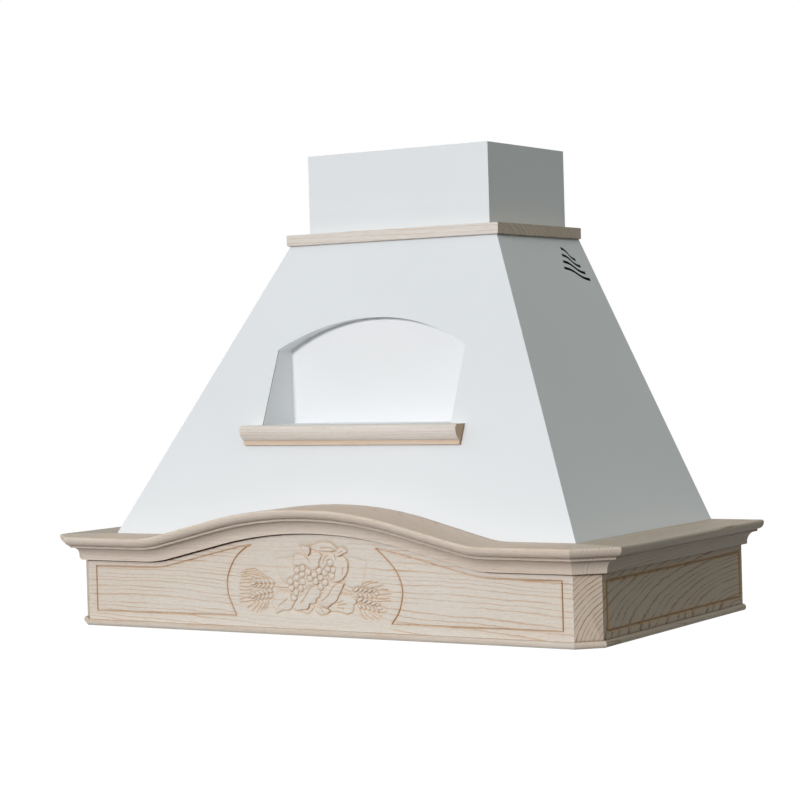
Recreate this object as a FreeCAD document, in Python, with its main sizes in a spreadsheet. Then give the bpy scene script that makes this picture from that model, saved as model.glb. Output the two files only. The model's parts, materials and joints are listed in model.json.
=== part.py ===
import FreeCAD, Part
import math
import os
from collections import namedtuple
from types import SimpleNamespace

import Sketcher

# Driving dimensions in millimetres
# X is across, Y is 0 at the wall and negative to the front, Z is up from the rim
SIZES = {
    # Wooden frame
    "panel_width": 830.0,
    "panel_depth": 455.0,
    "panel_thickness": 20.0,
    "corner_leg": 27.0,
    "bead_height": 9.0,
    "bead_projection": 5.0,
    "bead_round": 4.2,
    # Cornice: heights are measured from the rim, profile depths from the panel face and the top
    "cornice_top": 127.5,
    "cornice_projection": 35.0,
    "deck_thickness": 16.0,
    "deck_reach": 70.0,
    "nose_round": 3.0,
    "nose_height": 12.6,
    "nose_setback": 9.0,
    "fillet_setback": 1.0,
    "cove_foot": 9.0,
    "cove_height": 18.0,
    "cove_step": 3.5,
    "cove_lip": 2.5,
    "ogee_rise": 44.0,
    "ogee_half_span": 278.0,
    "ogee_foot_radius": 170.0,
    # Canopy, chimney and neck
    "sheet": 1.2,
    "canopy_side_setback": 37.0,
    "canopy_front_setback": 38.0,
    "canopy_neck_width": 343.4,
    "canopy_neck_depth": 240.5,
    "neck_top": 532.5,
    "trim_side_projection": 4.1,
    "trim_front_projection": 3.9,
    "trim_height": 16.0,
    "trim_chamfer": 1.0,
    "chimney_side_setback": 21.7,
    "chimney_front_setback": 18.9,
    "hood_height": 662.0,
    "chimney_flange": 18.0,
    "bracket_height": 30.0,
    "bracket_drop": 40.0,
    "bracket_plate": 2.0,
    "bracket_hole_spacing": 200.0,
    # Niche and its shelf
    "niche_width": 308.0,
    "niche_floor": 278.0,
    "niche_wall_height": 105.0,
    "niche_arch_rise": 41.6,
    "niche_head_depth": 15.06,
    "shelf_overhang": 22.0,
    "shelf_projection": 25.6,
    "shelf_nose_height": 21.0,
    "shelf_nose_round": 6.0,
    "shelf_nose_setback": 9.0,
    "shelf_strip_height": 6.5,
    "shelf_strip_projection": 4.5,
    # Side vents
    "vent_front": 71.0,
    "vent_rear": 41.0,
    "vent_stagger": 5.7,
    "vent_top": 514.5,
    "vent_pitch": 9.6,
    "vent_drop": 15.6,
    "vent_slot": 4.2,
    # Wall fixing
    "wall_hole_radius": 4.25,
    "wall_hole_spacing": 300.0,
    "wall_hole_rise": 250.0,
    "wall_hole_low": 200.0,
    # Underside tray and grease filters
    "tray_bottom": 25.0,
    "tray_flange": 22.0,
    "filter_bar_gap": 20.0,
    "filter_side_setback": 65.0,
    "filter_front_setback": 115.0,
    "filter_rear": 50.0,
    "filter_clearance": 1.0,
    "filter_thickness": 9.0,
    "filter_rim": 14.0,
    "filter_front_rim": 34.0,
    "filter_mesh_inset": 3.5,
    "tab_length": 8.0,
    "tab_width": 30.0,
    "tab_thickness": 1.5,
    "tab_lift": 0.3,
    "latch_width": 39.0,
    "latch_depth": 15.0,
    "latch_travel": 6.0,
    "latch_gap": 0.4,
    "latch_wall": 5.0,
    "latch_roof": 3.0,
    "latch_grip": 2.5,
    "tongue_width": 16.0,
    "tongue_reach": 5.0,
    "tongue_thickness": 2.6,
    "tongue_lift": 2.6,
    "notch_margin": 2.0,
    # Lamps, and the line that they share with the controls
    "controls_setback": 67.0,
    "lamp_side_setback": 135.0,
    "lamp_radius": 30.0,
    "lamp_flange": 6.0,
    "lamp_flange_thickness": 2.5,
    "lamp_height": 25.0,
    "lamp_wall": 3.0,
    "lens_thickness": 2.0,
    "lens_inset": 0.6,
    # Controls
    "bezel_length": 160.0,
    "bezel_width": 28.0,
    "bezel_thickness": 2.5,
    "bezel_lip": 4.0,
    "bezel_collar": 6.0,
    "button_length": 12.0,
    "button_width": 8.0,
    "button_pitch": 28.0,
    "button_proud": 3.0,
    "button_stem": 6.0,
    "button_flange": 1.5,
    "button_flange_thickness": 1.8,
    "button_gap": 0.5,
    "switch_box_margin": 6.0,
    "switch_box_height": 32.0,
    "switch_box_wall": 3.0,
    # Blower
    "blower_axis_height": 340.0,
    "blower_niche_gap": 4.7,
    "scroll_step": 9.0,
    "scroll_half_width": 66.0,
    "scroll_wall": 2.0,
    "outlet_lip": 2.0,
    "outlet_flange": 18.0,
    "wheel_clearance": 12.0,
    "inlet_step": 10.0,
    "wheel_half_width": 58.0,
    "wheel_rim": 14.0,
    "wheel_rim_thickness": 3.0,
    "wheel_disc": 2.0,
    "blade_thickness": 1.4,
    "hub_radius": 12.0,
    "hub_half_length": 10.0,
    "shaft_radius": 4.0,
    "shaft_fit": 0.05,
    "shaft_overhang": 14.0,
    "shaft_seat": 30.0,
    "motor_radius": 40.0,
    "motor_length": 78.0,
    "motor_gap": 2.0,
    "bracket_ring": 16.0,
    "bracket_sheet": 2.0,
    "clamp_wall": 4.0,
    "clamp_length": 10.0,
    "arm_width": 12.0,
    "blower_screw_margin": 8.0,
    # Outlet collar and non-return flaps
    "collar_radius": 75.0,
    "collar_wall": 1.5,
    "collar_flange": 13.0,
    "collar_flange_thickness": 1.5,
    "collar_height": 50.0,
    "flap_axis_height": 12.5,
    "flap_clearance": 1.0,
    "flap_thickness": 1.2,
    "flap_pin_radius": 2.0,
    "knuckle_wall": 1.4,
    "knuckle_length": 28.0,
    "knuckle_gap": 2.0,
    "knuckle_relief": 0.5,
    # Mains connection
    "junction_width": 80.0,
    "junction_height": 70.0,
    "junction_depth": 38.0,
    "junction_offset": 150.0,
    "junction_bottom": 260.0,
    "junction_wall": 2.5,
    "capacitor_radius": 16.0,
    "capacitor_height": 55.0,
    "gland_radius": 9.0,
    "gland_length": 15.0,
    "gland_bore": 5.0,
    # Fasteners
    "screw_radius": 2.0,
    "screw_clearance": 0.3,
    "screw_length": 14.0,
    "screw_head_radius": 4.2,
    "screw_head_height": 2.0,
    "frame_screw_height": 70.0,
    # General clearances and the overrun of every cut
    "fit_gap": 0.3,
    "overrun": 5.0,
}

BUTTON_COUNT = 5
VENT_COUNT = 4
BLADE_COUNT = 36
# The cornice turns each corner in two half turns of 22.5 degrees
MITRE_ANGLE = 22.5
MITRE_TAN_SHARE = math.tan(math.radians(MITRE_ANGLE))
MITRE_SIN_SHARE = math.sin(math.radians(MITRE_ANGLE))
MITRE_COS_SHARE = math.cos(math.radians(MITRE_ANGLE))
# Steepness of the ogee, as a share of the half angle that two plain arcs would need
OGEE_SLOPE_SHARE = 0.748
# Places of the screws along the side and front panels
SIDE_SCREW_SHARES = (0.25, 0.75)
FRONT_SCREW_SHARES = (-0.7, 0.0, 0.7)
# Inner ends of the fan blades, and how far each blade leans
BLADE_INNER_SHARE = 0.8
BLADE_LEAN_SHARE = 0.12

# Radii of the scroll between duct axis and niche: one on each side of the fan, less half for the outlet
SCROLL_RADII_IN_ROOM = 1.5
# Two points closer than this are one
SAME_POINT = 1e-3
BRACKET_ARM_COUNT = 3
KNUCKLES_ON_A_FLAP = 2

doc = FreeCAD.newDocument("range_hood")
sheet = doc.addObject("Spreadsheet::Sheet", "Sizes")
for row, (alias, number) in enumerate(SIZES.items(), 1):
    sheet.set("A%d" % row, alias)
    sheet.set("B%d" % row, str(number))
    sheet.setAlias("B%d" % row, alias)
doc.recompute()


class Size:
    """A length, with the sheet expression that it comes from."""

    def __init__(self, value, text):
        self.value = value
        self.text = text

    def joined(self, sign, other, value):
        return Size(value, "(%s %s %s)" % (self.text, sign, other.text))

    def __add__(self, other):
        other = as_size(other)
        return self.joined("+", other, self.value + other.value)

    def __sub__(self, other):
        other = as_size(other)
        return self.joined("-", other, self.value - other.value)

    def __mul__(self, other):
        other = as_size(other)
        return self.joined("*", other, self.value * other.value)

    def __truediv__(self, other):
        other = as_size(other)
        return self.joined("/", other, self.value / other.value)

    def __neg__(self):
        return self * -1

    def __radd__(self, other):
        return as_size(other) + self

    def __rsub__(self, other):
        return as_size(other) - self

    def __rmul__(self, other):
        return as_size(other) * self


def as_size(number):
    return number if isinstance(number, Size) else Size(float(number), "(%r)" % float(number))


ZERO = as_size(0)
d = SimpleNamespace(**{alias: Size(number, "Sizes." + alias) for alias, number in SIZES.items()})

# A corner of an outline
# With a radius, the edge that arrives there is an arc that turns left (1) or right (-1)
Corner = namedtuple("Corner", "u v radius turn", defaults=(None, 0))


# Building blocks

def bind(item, prop, size):
    """Tie a property to the sheet."""
    item.setExpression(prop, as_size(size).text)


def place(item, x, y, z, rotation=None):
    """Put an object at sizes x, y, z, turned by a fixed rotation."""
    item.Placement = FreeCAD.Placement(FreeCAD.Vector(), rotation or FreeCAD.Rotation())
    for axis, size in zip("xyz", (x, y, z)):
        bind(item, "Placement.Base." + axis, size)
    return item


def box(name, x0, x1, y0, y1, z0, z1):
    item = doc.addObject("Part::Box", name)
    bind(item, "Length", x1 - x0)
    bind(item, "Width", y1 - y0)
    bind(item, "Height", z1 - z0)
    return place(item, x0, y0, z0)


TURNS = {
    "X": FreeCAD.Rotation(FreeCAD.Vector(0, 1, 0), 90),
    "Y": FreeCAD.Rotation(FreeCAD.Vector(1, 0, 0), -90),
    "Z": FreeCAD.Rotation(),
}


def rod(name, axis, radius, length, x, y, z):
    """A cylinder from x, y, z along a positive axis."""
    item = doc.addObject("Part::Cylinder", name)
    bind(item, "Radius", radius)
    bind(item, "Height", length)
    return place(item, x, y, z, TURNS[axis])


def fused(name, items):
    item = doc.addObject("Part::MultiFuse", name)
    item.Shapes = items
    item.Refine = True
    return item


def cut(name, base, tools):
    item = doc.addObject("Part::Cut", name)
    item.Base = base
    item.Tool = tools[0] if len(tools) == 1 else fused(name + "_tools", tools)
    item.Refine = True
    return item


def common(name, base, tool):
    item = doc.addObject("Part::Common", name)
    item.Base = base
    item.Tool = tool
    item.Refine = True
    return item


def mirrored(name, source):
    """The same piece on the other side of the centre plane."""
    item = doc.addObject("Part::Mirroring", name)
    item.Source = source
    item.Normal = FreeCAD.Vector(1, 0, 0)
    return item


def new_body(name):
    return doc.addObject("PartDesign::Body", name)


def arc_between(start, end, radius, turn):
    """The shorter arc from start to end, turning left (1) or right (-1)."""
    chord = end - start
    half = chord.Length / 2
    rise = math.sqrt(max(radius * radius - half * half, 0))
    left = FreeCAD.Vector(-chord.y, chord.x, 0).normalize()
    centre = (start + end) * 0.5 + left * (turn * rise)
    angles = [math.atan2(p.y - centre.y, p.x - centre.x) for p in (start, end)]
    if turn < 0:
        angles.reverse()
    circle = Part.Circle(centre, FreeCAD.Vector(0, 0, 1), radius)
    return Part.ArcOfCircle(circle, angles[0], angles[1])


def attached_sketch(body, name, plane, shift):
    """An empty sketch on one of the body's own planes, moved along its normal."""
    item = body.newObject("Sketcher::SketchObject", name)
    support = [f for f in body.Origin.OriginFeatures if f.Role == plane][0]
    item.AttachmentSupport = [(support, "")]
    item.MapMode = "FlatFace"
    bind(item, "AttachmentOffset.Base.z", shift)
    return item


def circle(body, name, plane, radius):
    """A sketch of a circle about the origin."""
    item = attached_sketch(body, name, plane, ZERO)
    geometry = item.addGeometry(Part.Circle(FreeCAD.Vector(), FreeCAD.Vector(0, 0, 1), radius.value))
    item.addConstraint(Sketcher.Constraint("Coincident", geometry, 3, -1, 1))
    index = item.addConstraint(Sketcher.Constraint("Radius", geometry, radius.value))
    bind(item, "Constraints[%d]" % index, radius)
    return item


def sketch(body, name, plane, corners, shift=ZERO, closed=True):
    """A sketch through the corners, every corner and radius tied to the sheet."""
    item = attached_sketch(body, name, plane, shift)
    points = [FreeCAD.Vector(as_size(c.u).value, as_size(c.v).value, 0) for c in corners]
    count = len(corners)
    edges = []
    for i in range(count if closed else count - 1):
        target = corners[(i + 1) % count]
        start, end = points[i], points[(i + 1) % count]
        if target.radius is None:
            geometry = item.addGeometry(Part.LineSegment(start, end))
            edges.append((geometry, 1, 2))
        else:
            geometry = item.addGeometry(arc_between(start, end, target.radius.value, target.turn))
            edges.append((geometry, 1, 2) if target.turn > 0 else (geometry, 2, 1))
            index = item.addConstraint(Sketcher.Constraint("Radius", geometry, target.radius.value))
            bind(item, "Constraints[%d]" % index, target.radius)
    for i, (geometry, begin, end) in enumerate(edges):
        if closed or i + 1 < len(edges):
            following = edges[(i + 1) % len(edges)]
            item.addConstraint(Sketcher.Constraint("Coincident", geometry, end, following[0], following[1]))
        pin(item, geometry, begin, corners[i])
    if not closed:
        pin(item, edges[-1][0], edges[-1][2], corners[-1])
    return item


def pin(item, geometry, end, corner):
    """Hold one corner of a sketch at its two sizes."""
    for kind, axis, size in (("DistanceX", -2, as_size(corner.u)), ("DistanceY", -1, as_size(corner.v))):
        if size is ZERO:
            item.addConstraint(Sketcher.Constraint("PointOnObject", geometry, end, axis))
        else:
            index = item.addConstraint(Sketcher.Constraint(kind, -1, 1, geometry, end, size.value))
            bind(item, "Constraints[%d]" % index, size)


def pad(body, profile, length, both_ways=False):
    item = body.newObject("PartDesign::Pad", body.Name + "_pad")
    item.Profile = profile
    bind(item, "Length", length)
    item.Midplane = both_ways
    return item


def prism(name, plane, corners, start, length, both_ways=False):
    """A body padded from one closed outline."""
    body = new_body(name)
    pad(body, sketch(body, name + "_outline", plane, corners, start), length, both_ways)
    return body


def edges_over(shape, start, end):
    """Names of the edges whose plan runs from start to end."""
    wanted = [(start[0].value, start[1].value), (end[0].value, end[1].value)]
    names = []
    for i, edge in enumerate(shape.Edges, 1):
        ends = [(v.X, v.Y) for v in edge.Vertexes]
        if len(ends) == 2 and all(any(math.dist(w, e) < SAME_POINT for e in ends) for w in wanted):
            names.append("Edge%d" % i)
    return names


def lowest(shape, names):
    """The lowest of some named edges."""
    return min(names, key=lambda name: shape.getElement(name).CenterOfMass.z)


# Shared planes and heights

panel_half = d.panel_width / 2
front_half = panel_half - d.corner_leg
side_front = d.panel_depth - d.corner_leg
panel_top = d.cornice_top - d.deck_thickness
tray_half = panel_half - d.panel_thickness
tray_front = d.panel_depth - d.panel_thickness
foot_half = panel_half - d.canopy_side_setback
foot_depth = d.panel_depth - d.canopy_front_setback
neck_half = d.canopy_neck_width / 2
chimney_half = neck_half - d.chimney_side_setback
chimney_depth = d.canopy_neck_depth - d.chimney_front_setback
controls_y = d.controls_setback - d.panel_depth
neck_under = d.neck_top - d.sheet
tray_floor = d.tray_bottom + d.sheet


def canopy_depth_at(height):
    """Depth of the canopy's front face at a height."""
    share = (height - panel_top) / (d.neck_top - panel_top)
    return foot_depth - (foot_depth - d.canopy_neck_depth) * share


# Ogee of the front: foot arc, straight slope, crown arc and the same mirrored

half_tan = OGEE_SLOPE_SHARE * d.ogee_rise / d.ogee_half_span
slope_sin = 2 * half_tan / (1 + half_tan * half_tan)
slope_cos = (1 - half_tan * half_tan) / (1 + half_tan * half_tan)
both_radii = (d.ogee_half_span * slope_sin - d.ogee_rise * slope_cos) / (1 - slope_cos)
crown_radius = both_radii - d.ogee_foot_radius
crown_end = crown_radius * slope_sin
crown_end_rise = d.ogee_rise - crown_radius * (1 - slope_cos)
foot_end = d.ogee_half_span - d.ogee_foot_radius * slope_sin
foot_end_rise = d.ogee_foot_radius * (1 - slope_cos)


def ogee(level, way):
    """Corners of the ogee at a level, from left to right (1) or from right to left (-1)."""
    return [
        Corner(-d.ogee_half_span * way, level),
        Corner(-foot_end * way, level + foot_end_rise, d.ogee_foot_radius, way),
        Corner(-crown_end * way, level + crown_end_rise),
        Corner(crown_end * way, level + crown_end_rise, crown_radius, -way),
        Corner(foot_end * way, level + foot_end_rise),
        Corner(d.ogee_half_span * way, level, d.ogee_foot_radius, way),
    ]


# Wooden frame

front_panel = prism(
    "front_panel", "XZ_Plane",
    [Corner(-front_half, ZERO), Corner(front_half, ZERO), Corner(front_half, panel_top)]
    + ogee(panel_top, -1) + [Corner(-front_half, panel_top)],
    tray_front, d.panel_thickness)

corner_board_right = prism(
    "corner_board_right", "XY_Plane",
    [Corner(front_half, -d.panel_depth), Corner(panel_half, -side_front), Corner(tray_half, -side_front),
     Corner(tray_half, -tray_front), Corner(front_half, -tray_front)],
    ZERO, panel_top)

side_panel_right = box("side_panel_right", tray_half, panel_half, -side_front, ZERO, ZERO, panel_top)


def base_bead(name, inner_start, inner_end, outer_start, outer_end):
    """A half-round strip along the foot of a panel."""
    plan = [inner_start, outer_start, outer_end, inner_end]
    body = prism(name, "XY_Plane", [Corner(x, y) for x, y in plan], ZERO, d.bead_height)
    doc.recompute()
    strip = body.Tip
    rounding = body.newObject("PartDesign::Fillet", name + "_round")
    rounding.Base = (strip, edges_over(strip.Shape, outer_start, outer_end))
    bind(rounding, "Radius", d.bead_round)
    body.Tip = rounding
    return body


bead_mitre = d.bead_projection * MITRE_TAN_SHARE
front_inner = (front_half, -d.panel_depth)
front_outer = (front_half + bead_mitre, -d.panel_depth - d.bead_projection)
side_inner = (panel_half, -side_front)
side_outer = (panel_half + d.bead_projection, -side_front - bead_mitre)
base_bead_front = base_bead(
    "base_bead_front", (-front_inner[0], front_inner[1]), front_inner,
    (-front_outer[0], front_outer[1]), front_outer)
base_bead_corner_right = base_bead("base_bead_corner_right", front_inner, side_inner, front_outer, side_outer)
base_bead_side_right = base_bead(
    "base_bead_side_right", side_inner, (panel_half, ZERO),
    side_outer, (panel_half + d.bead_projection, ZERO))

# Canopy as an outer and an inner solid: a tapering block with a plumb back

def taper(name, skin, back):
    item = doc.addObject("Part::Wedge", name)
    for prop, size in (
            ("Xmin", skin - foot_half), ("Xmax", foot_half - skin),
            ("Ymin", panel_top), ("Ymax", d.neck_top),
            ("Zmin", -back), ("Zmax", foot_depth - skin),
            ("X2min", skin - neck_half), ("X2max", neck_half - skin),
            ("Z2min", -back), ("Z2max", d.canopy_neck_depth - skin)):
        bind(item, prop, size)
    item.Placement.Rotation = FreeCAD.Rotation(FreeCAD.Vector(1, 0, 0), 90)
    return item


canopy_outside = taper("canopy_outside", ZERO, ZERO)
canopy_inside = taper("canopy_inside", d.sheet, d.overrun)

# Cornice: one profile, swept along the ogee at the front and run straight round the corners


def cornice_profile(face, way):
    """Corners of the moulding; face is the panel's face and way is the outward direction."""
    tip = d.cornice_projection
    nose_drop = d.nose_height - d.nose_round
    ovolo_radius = (d.nose_setback * d.nose_setback + nose_drop * nose_drop) / (2 * d.nose_setback)
    nose_foot = tip - d.nose_setback
    cove_top = nose_foot - d.fillet_setback
    cove_start = cove_top - d.cove_step
    under = d.cornice_top - d.deck_thickness
    foot = under - d.cove_height
    cove_width = cove_start - d.cove_foot
    cove_drop = d.cove_height - d.cove_lip
    cove_radius = (cove_width * cove_width + cove_drop * cove_drop) / (2 * cove_width)
    return [
        Corner(face - way * d.deck_reach, d.cornice_top),
        Corner(face + way * (tip - d.nose_round), d.cornice_top),
        Corner(face + way * tip, d.cornice_top - d.nose_round, d.nose_round, -way),
        Corner(face + way * nose_foot, d.cornice_top - d.nose_height, ovolo_radius, -way),
        Corner(face + way * cove_top, d.cornice_top - d.nose_height),
        Corner(face + way * cove_top, under),
        Corner(face + way * cove_start, under),
        Corner(face + way * d.cove_foot, foot + d.cove_lip, cove_radius, way),
        Corner(face + way * d.cove_foot, foot),
        Corner(face, foot),
        Corner(face, under),
        Corner(face - way * d.deck_reach, under),
    ]


def cornice_stick(name, length):
    """A straight length of cornice with its panel face on the local YZ plane."""
    return prism(name, "XZ_Plane", cornice_profile(ZERO, 1), ZERO, length, both_ways=True)


cornice_end = panel_half + d.cornice_projection
cornice_run = new_body("cornice_run")
cornice_path = sketch(
    cornice_run, "cornice_path", "XZ_Plane",
    [Corner(-cornice_end, d.cornice_top)] + ogee(d.cornice_top, 1) + [Corner(cornice_end, d.cornice_top)],
    closed=False)
cornice_section = sketch(
    cornice_run, "cornice_section", "YZ_Plane", cornice_profile(-d.panel_depth, -1), -cornice_end)
doc.recompute()
cornice_sweep = cornice_run.newObject("PartDesign::AdditivePipe", "cornice_sweep")
cornice_sweep.Profile = cornice_section
cornice_sweep.Spine = (cornice_path, ["Edge%d" % (i + 1) for i in range(cornice_path.GeometryCount)])
cornice_sweep.Mode = "Fixed"

corner_stick = place(
    cornice_stick("corner_stick", d.panel_width), (front_half + panel_half) / 2,
    -(d.panel_depth + side_front) / 2, ZERO, FreeCAD.Rotation(FreeCAD.Vector(0, 0, 1), -2 * MITRE_ANGLE))
side_stick = place(cornice_stick("side_stick", d.panel_width), panel_half, -d.panel_width / 2, ZERO)


def half_space(name, corner, angle, sine, cosine, ahead):
    """A large block on one side of the plumb mitre plane through a corner."""
    reach = d.panel_width
    item = doc.addObject("Part::Box", name)
    for prop in ("Length", "Width", "Height"):
        bind(item, prop, reach)
    back = ZERO if ahead else reach
    x = corner[0] - back * cosine + reach * sine / 2
    y = corner[1] - back * sine - reach * cosine / 2
    return place(item, x, y, ZERO, FreeCAD.Rotation(FreeCAD.Vector(0, 0, 1), angle))


def front_mitre(name, ahead):
    return half_space(name, front_inner, MITRE_ANGLE, MITRE_SIN_SHARE, MITRE_COS_SHARE, ahead)


def side_mitre(name, ahead):
    return half_space(name, side_inner, 90 - MITRE_ANGLE, MITRE_COS_SHARE, MITRE_SIN_SHARE, ahead)


past_front = front_mitre("past_front_mitre", True)
before_front = front_mitre("before_front_mitre", False)
past_side = side_mitre("past_side_mitre", True)
before_side = side_mitre("before_side_mitre", False)
cornice_front = cut(
    "cornice_front", cornice_run, [past_front, mirrored("past_front_mitre_left", past_front), canopy_outside])
cornice_corner_right = cut("cornice_corner_right", corner_stick, [before_front, past_side, canopy_outside])
cornice_side_right = cut("cornice_side_right", side_stick, [before_side, before_front, canopy_outside])

# Canopy shell with the niche opening and the side vents


def arch(half, floor, spring, rise):
    """Corners of an opening with plumb sides and a segmental head."""
    radius = (half * half + rise * rise) / (2 * rise)
    return [Corner(-half, floor), Corner(half, floor), Corner(half, spring), Corner(-half, spring, radius, 1)]


niche_half = d.niche_width / 2
niche_spring = d.niche_floor + d.niche_wall_height
niche_back = canopy_depth_at(niche_spring + d.niche_arch_rise) - d.niche_head_depth
niche_opening = prism(
    "niche_opening", "XZ_Plane", arch(niche_half, d.niche_floor, niche_spring, d.niche_arch_rise),
    niche_back, d.panel_depth - niche_back)


def vent_outline(index):
    """One wavy slot: two arcs above and the same two below."""
    front = -d.vent_front - d.vent_stagger * index
    rear = -d.vent_rear + d.vent_stagger * index
    high = d.vent_top - d.vent_pitch * index
    low = high - d.vent_drop
    run = rear - front
    radius = (run * run + d.vent_drop * d.vent_drop) / (4 * d.vent_drop)
    middle = (front + rear) / 2
    half_way = (high + low) / 2
    return [
        Corner(front, high),
        Corner(middle, half_way, radius, -1),
        Corner(rear, low, radius, 1),
        Corner(rear, low + d.vent_slot),
        Corner(middle, half_way + d.vent_slot, radius, -1),
        Corner(front, high + d.vent_slot, radius, 1),
    ]


vents = [
    prism("vent_%d" % i, "YZ_Plane", vent_outline(i), ZERO, d.panel_width, both_ways=True)
    for i in range(VENT_COUNT)]
canopy_shell = cut("canopy_shell", canopy_outside, [canopy_inside, niche_opening] + vents)

niche_block = prism(
    "niche_block", "XZ_Plane",
    arch(niche_half + d.sheet, d.niche_floor - d.sheet, niche_spring, d.niche_arch_rise + d.sheet),
    niche_back - d.sheet, d.panel_depth - niche_back)
niche_box = common("niche_box", cut("niche_tube", niche_block, [niche_opening]), canopy_inside)

# Shelf below the niche, its back cut to the slope of the canopy

shelf_low = d.niche_floor - d.shelf_nose_height - d.shelf_strip_height
shelf_step = d.niche_floor - d.shelf_nose_height
shelf_front = canopy_depth_at(d.niche_floor) + d.shelf_projection
shelf_lower_drop = d.shelf_nose_height - d.shelf_nose_round
shelf_lower_radius = (
    d.shelf_nose_setback * d.shelf_nose_setback
    + shelf_lower_drop * shelf_lower_drop) / (2 * d.shelf_nose_setback)
strip_front = canopy_depth_at(shelf_low) + d.shelf_strip_projection
niche_shelf = prism(
    "niche_shelf", "YZ_Plane",
    [Corner(-canopy_depth_at(d.niche_floor), d.niche_floor),
     Corner(d.shelf_nose_round - shelf_front, d.niche_floor),
     Corner(-shelf_front, d.niche_floor - d.shelf_nose_round, d.shelf_nose_round, 1),
     Corner(d.shelf_nose_setback - shelf_front, shelf_step, shelf_lower_radius, 1),
     Corner(-strip_front, shelf_step),
     Corner(-strip_front, shelf_low),
     Corner(-canopy_depth_at(shelf_low), shelf_low)],
    ZERO, (niche_half + d.shelf_overhang) * 2, both_ways=True)

# Neck trim round the foot of the chimney

trim_half = neck_half + d.trim_side_projection
trim_depth = d.canopy_neck_depth + d.trim_front_projection
trim_inner_half = chimney_half + d.fit_gap
trim_inner_depth = chimney_depth + d.fit_gap


def neck_trim(name, inner_start, inner_end, outer_start, outer_end):
    plan = [inner_start, outer_start, outer_end, inner_end]
    body = prism(name, "XY_Plane", [Corner(x, y) for x, y in plan], d.neck_top, d.trim_height)
    doc.recompute()
    strip = body.Tip
    easing = body.newObject("PartDesign::Chamfer", name + "_easing")
    easing.Base = (strip, [lowest(strip.Shape, edges_over(strip.Shape, outer_start, outer_end))])
    bind(easing, "Size", d.trim_chamfer)
    body.Tip = easing
    return body


neck_trim_front = neck_trim(
    "neck_trim_front", (-trim_inner_half, -trim_inner_depth), (trim_inner_half, -trim_inner_depth),
    (-trim_half, -trim_depth), (trim_half, -trim_depth))
neck_trim_right = neck_trim(
    "neck_trim_right", (trim_inner_half, -trim_inner_depth), (trim_inner_half, ZERO),
    (trim_half, -trim_depth), (trim_half, ZERO))

# Chimney cover, its wall bracket and the plates that close the canopy

flange_inner = chimney_half - d.chimney_flange
wall_inner = chimney_half - d.sheet
cover_inner_depth = chimney_depth - d.sheet
chimney_cover = prism(
    "chimney_cover", "XY_Plane",
    [Corner(-chimney_half, -chimney_depth), Corner(chimney_half, -chimney_depth),
     Corner(chimney_half, ZERO), Corner(flange_inner, ZERO), Corner(flange_inner, -d.sheet),
     Corner(wall_inner, -d.sheet), Corner(wall_inner, -cover_inner_depth),
     Corner(-wall_inner, -cover_inner_depth), Corner(-wall_inner, -d.sheet),
     Corner(-flange_inner, -d.sheet), Corner(-flange_inner, ZERO), Corner(-chimney_half, ZERO)],
    d.neck_top, d.hood_height - d.neck_top)

bracket_low = d.hood_height - d.bracket_drop - d.bracket_height
bracket_front = d.sheet + d.bracket_plate
chimney_bracket = cut(
    "chimney_bracket",
    box("bracket_strip", -wall_inner, wall_inner, -bracket_front, -d.sheet,
        bracket_low, bracket_low + d.bracket_height),
    [rod("bracket_hole_%d" % i, "Y", d.wall_hole_radius, bracket_front + d.overrun,
         side * d.bracket_hole_spacing / 2, -bracket_front - d.overrun / 2,
         bracket_low + d.bracket_height / 2)
     for i, side in enumerate((-1, 1))])

duct_y = -chimney_depth / 2
collar_bore = d.collar_radius - d.collar_wall
# The scroll fills the depth from the duct to the niche
blower_front = niche_back - d.sheet - d.blower_niche_gap
scroll_room = blower_front + duct_y + d.outlet_lip / 2 + d.scroll_step - d.scroll_wall
scroll_end_radius = scroll_room / SCROLL_RADII_IN_ROOM
outlet_half = (scroll_end_radius + d.outlet_lip) / 2
outlet_rear = duct_y + outlet_half
outlet_front = duct_y - outlet_half
flange_half_x = d.scroll_half_width + d.outlet_flange
screw_x = flange_half_x - d.blower_screw_margin
screw_ys = (outlet_front - d.blower_screw_margin, outlet_rear + d.blower_screw_margin)
blower_screw_places = [(side * screw_x, y) for side in (-1, 1) for y in screw_ys]
hole_radius = d.screw_radius + d.screw_clearance


def blower_holes(name):
    """Clearance holes for the screws that hang the blower."""
    return [rod("%s_%d" % (name, i), "Z", hole_radius, d.screw_length * 2, x, y, d.neck_top - d.screw_length)
            for i, (x, y) in enumerate(blower_screw_places)]


top_plate = cut(
    "top_plate",
    box("top_sheet", d.sheet - neck_half, neck_half - d.sheet, d.sheet - d.canopy_neck_depth, -d.sheet,
        neck_under, d.neck_top),
    [rod("duct_hole", "Z", collar_bore, d.sheet + d.overrun, ZERO, duct_y, neck_under - d.overrun / 2)]
    + blower_holes("plate_hole"))

back_foot = foot_half - d.sheet
back_neck = neck_half - d.sheet
wall_holes = [
    rod("wall_hole_%d" % i, "Y", d.wall_hole_radius, d.sheet + d.overrun,
        side * d.wall_hole_spacing / 2, -d.sheet - d.overrun / 2, d.wall_hole_low + d.wall_hole_rise * level)
    for i, (side, level) in enumerate(((-1, 0), (1, 0), (-1, 1), (1, 1)))]
back_sheet = prism(
    "back_sheet", "XZ_Plane",
    [Corner(-tray_half, d.tray_bottom), Corner(tray_half, d.tray_bottom), Corner(tray_half, panel_top),
     Corner(back_foot, panel_top), Corner(back_neck, d.neck_top), Corner(-back_neck, d.neck_top),
     Corner(-back_foot, panel_top), Corner(-tray_half, panel_top)],
    ZERO, d.sheet)
back_plate = cut("back_plate", back_sheet, wall_holes)

# Underside tray with its openings

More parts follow.
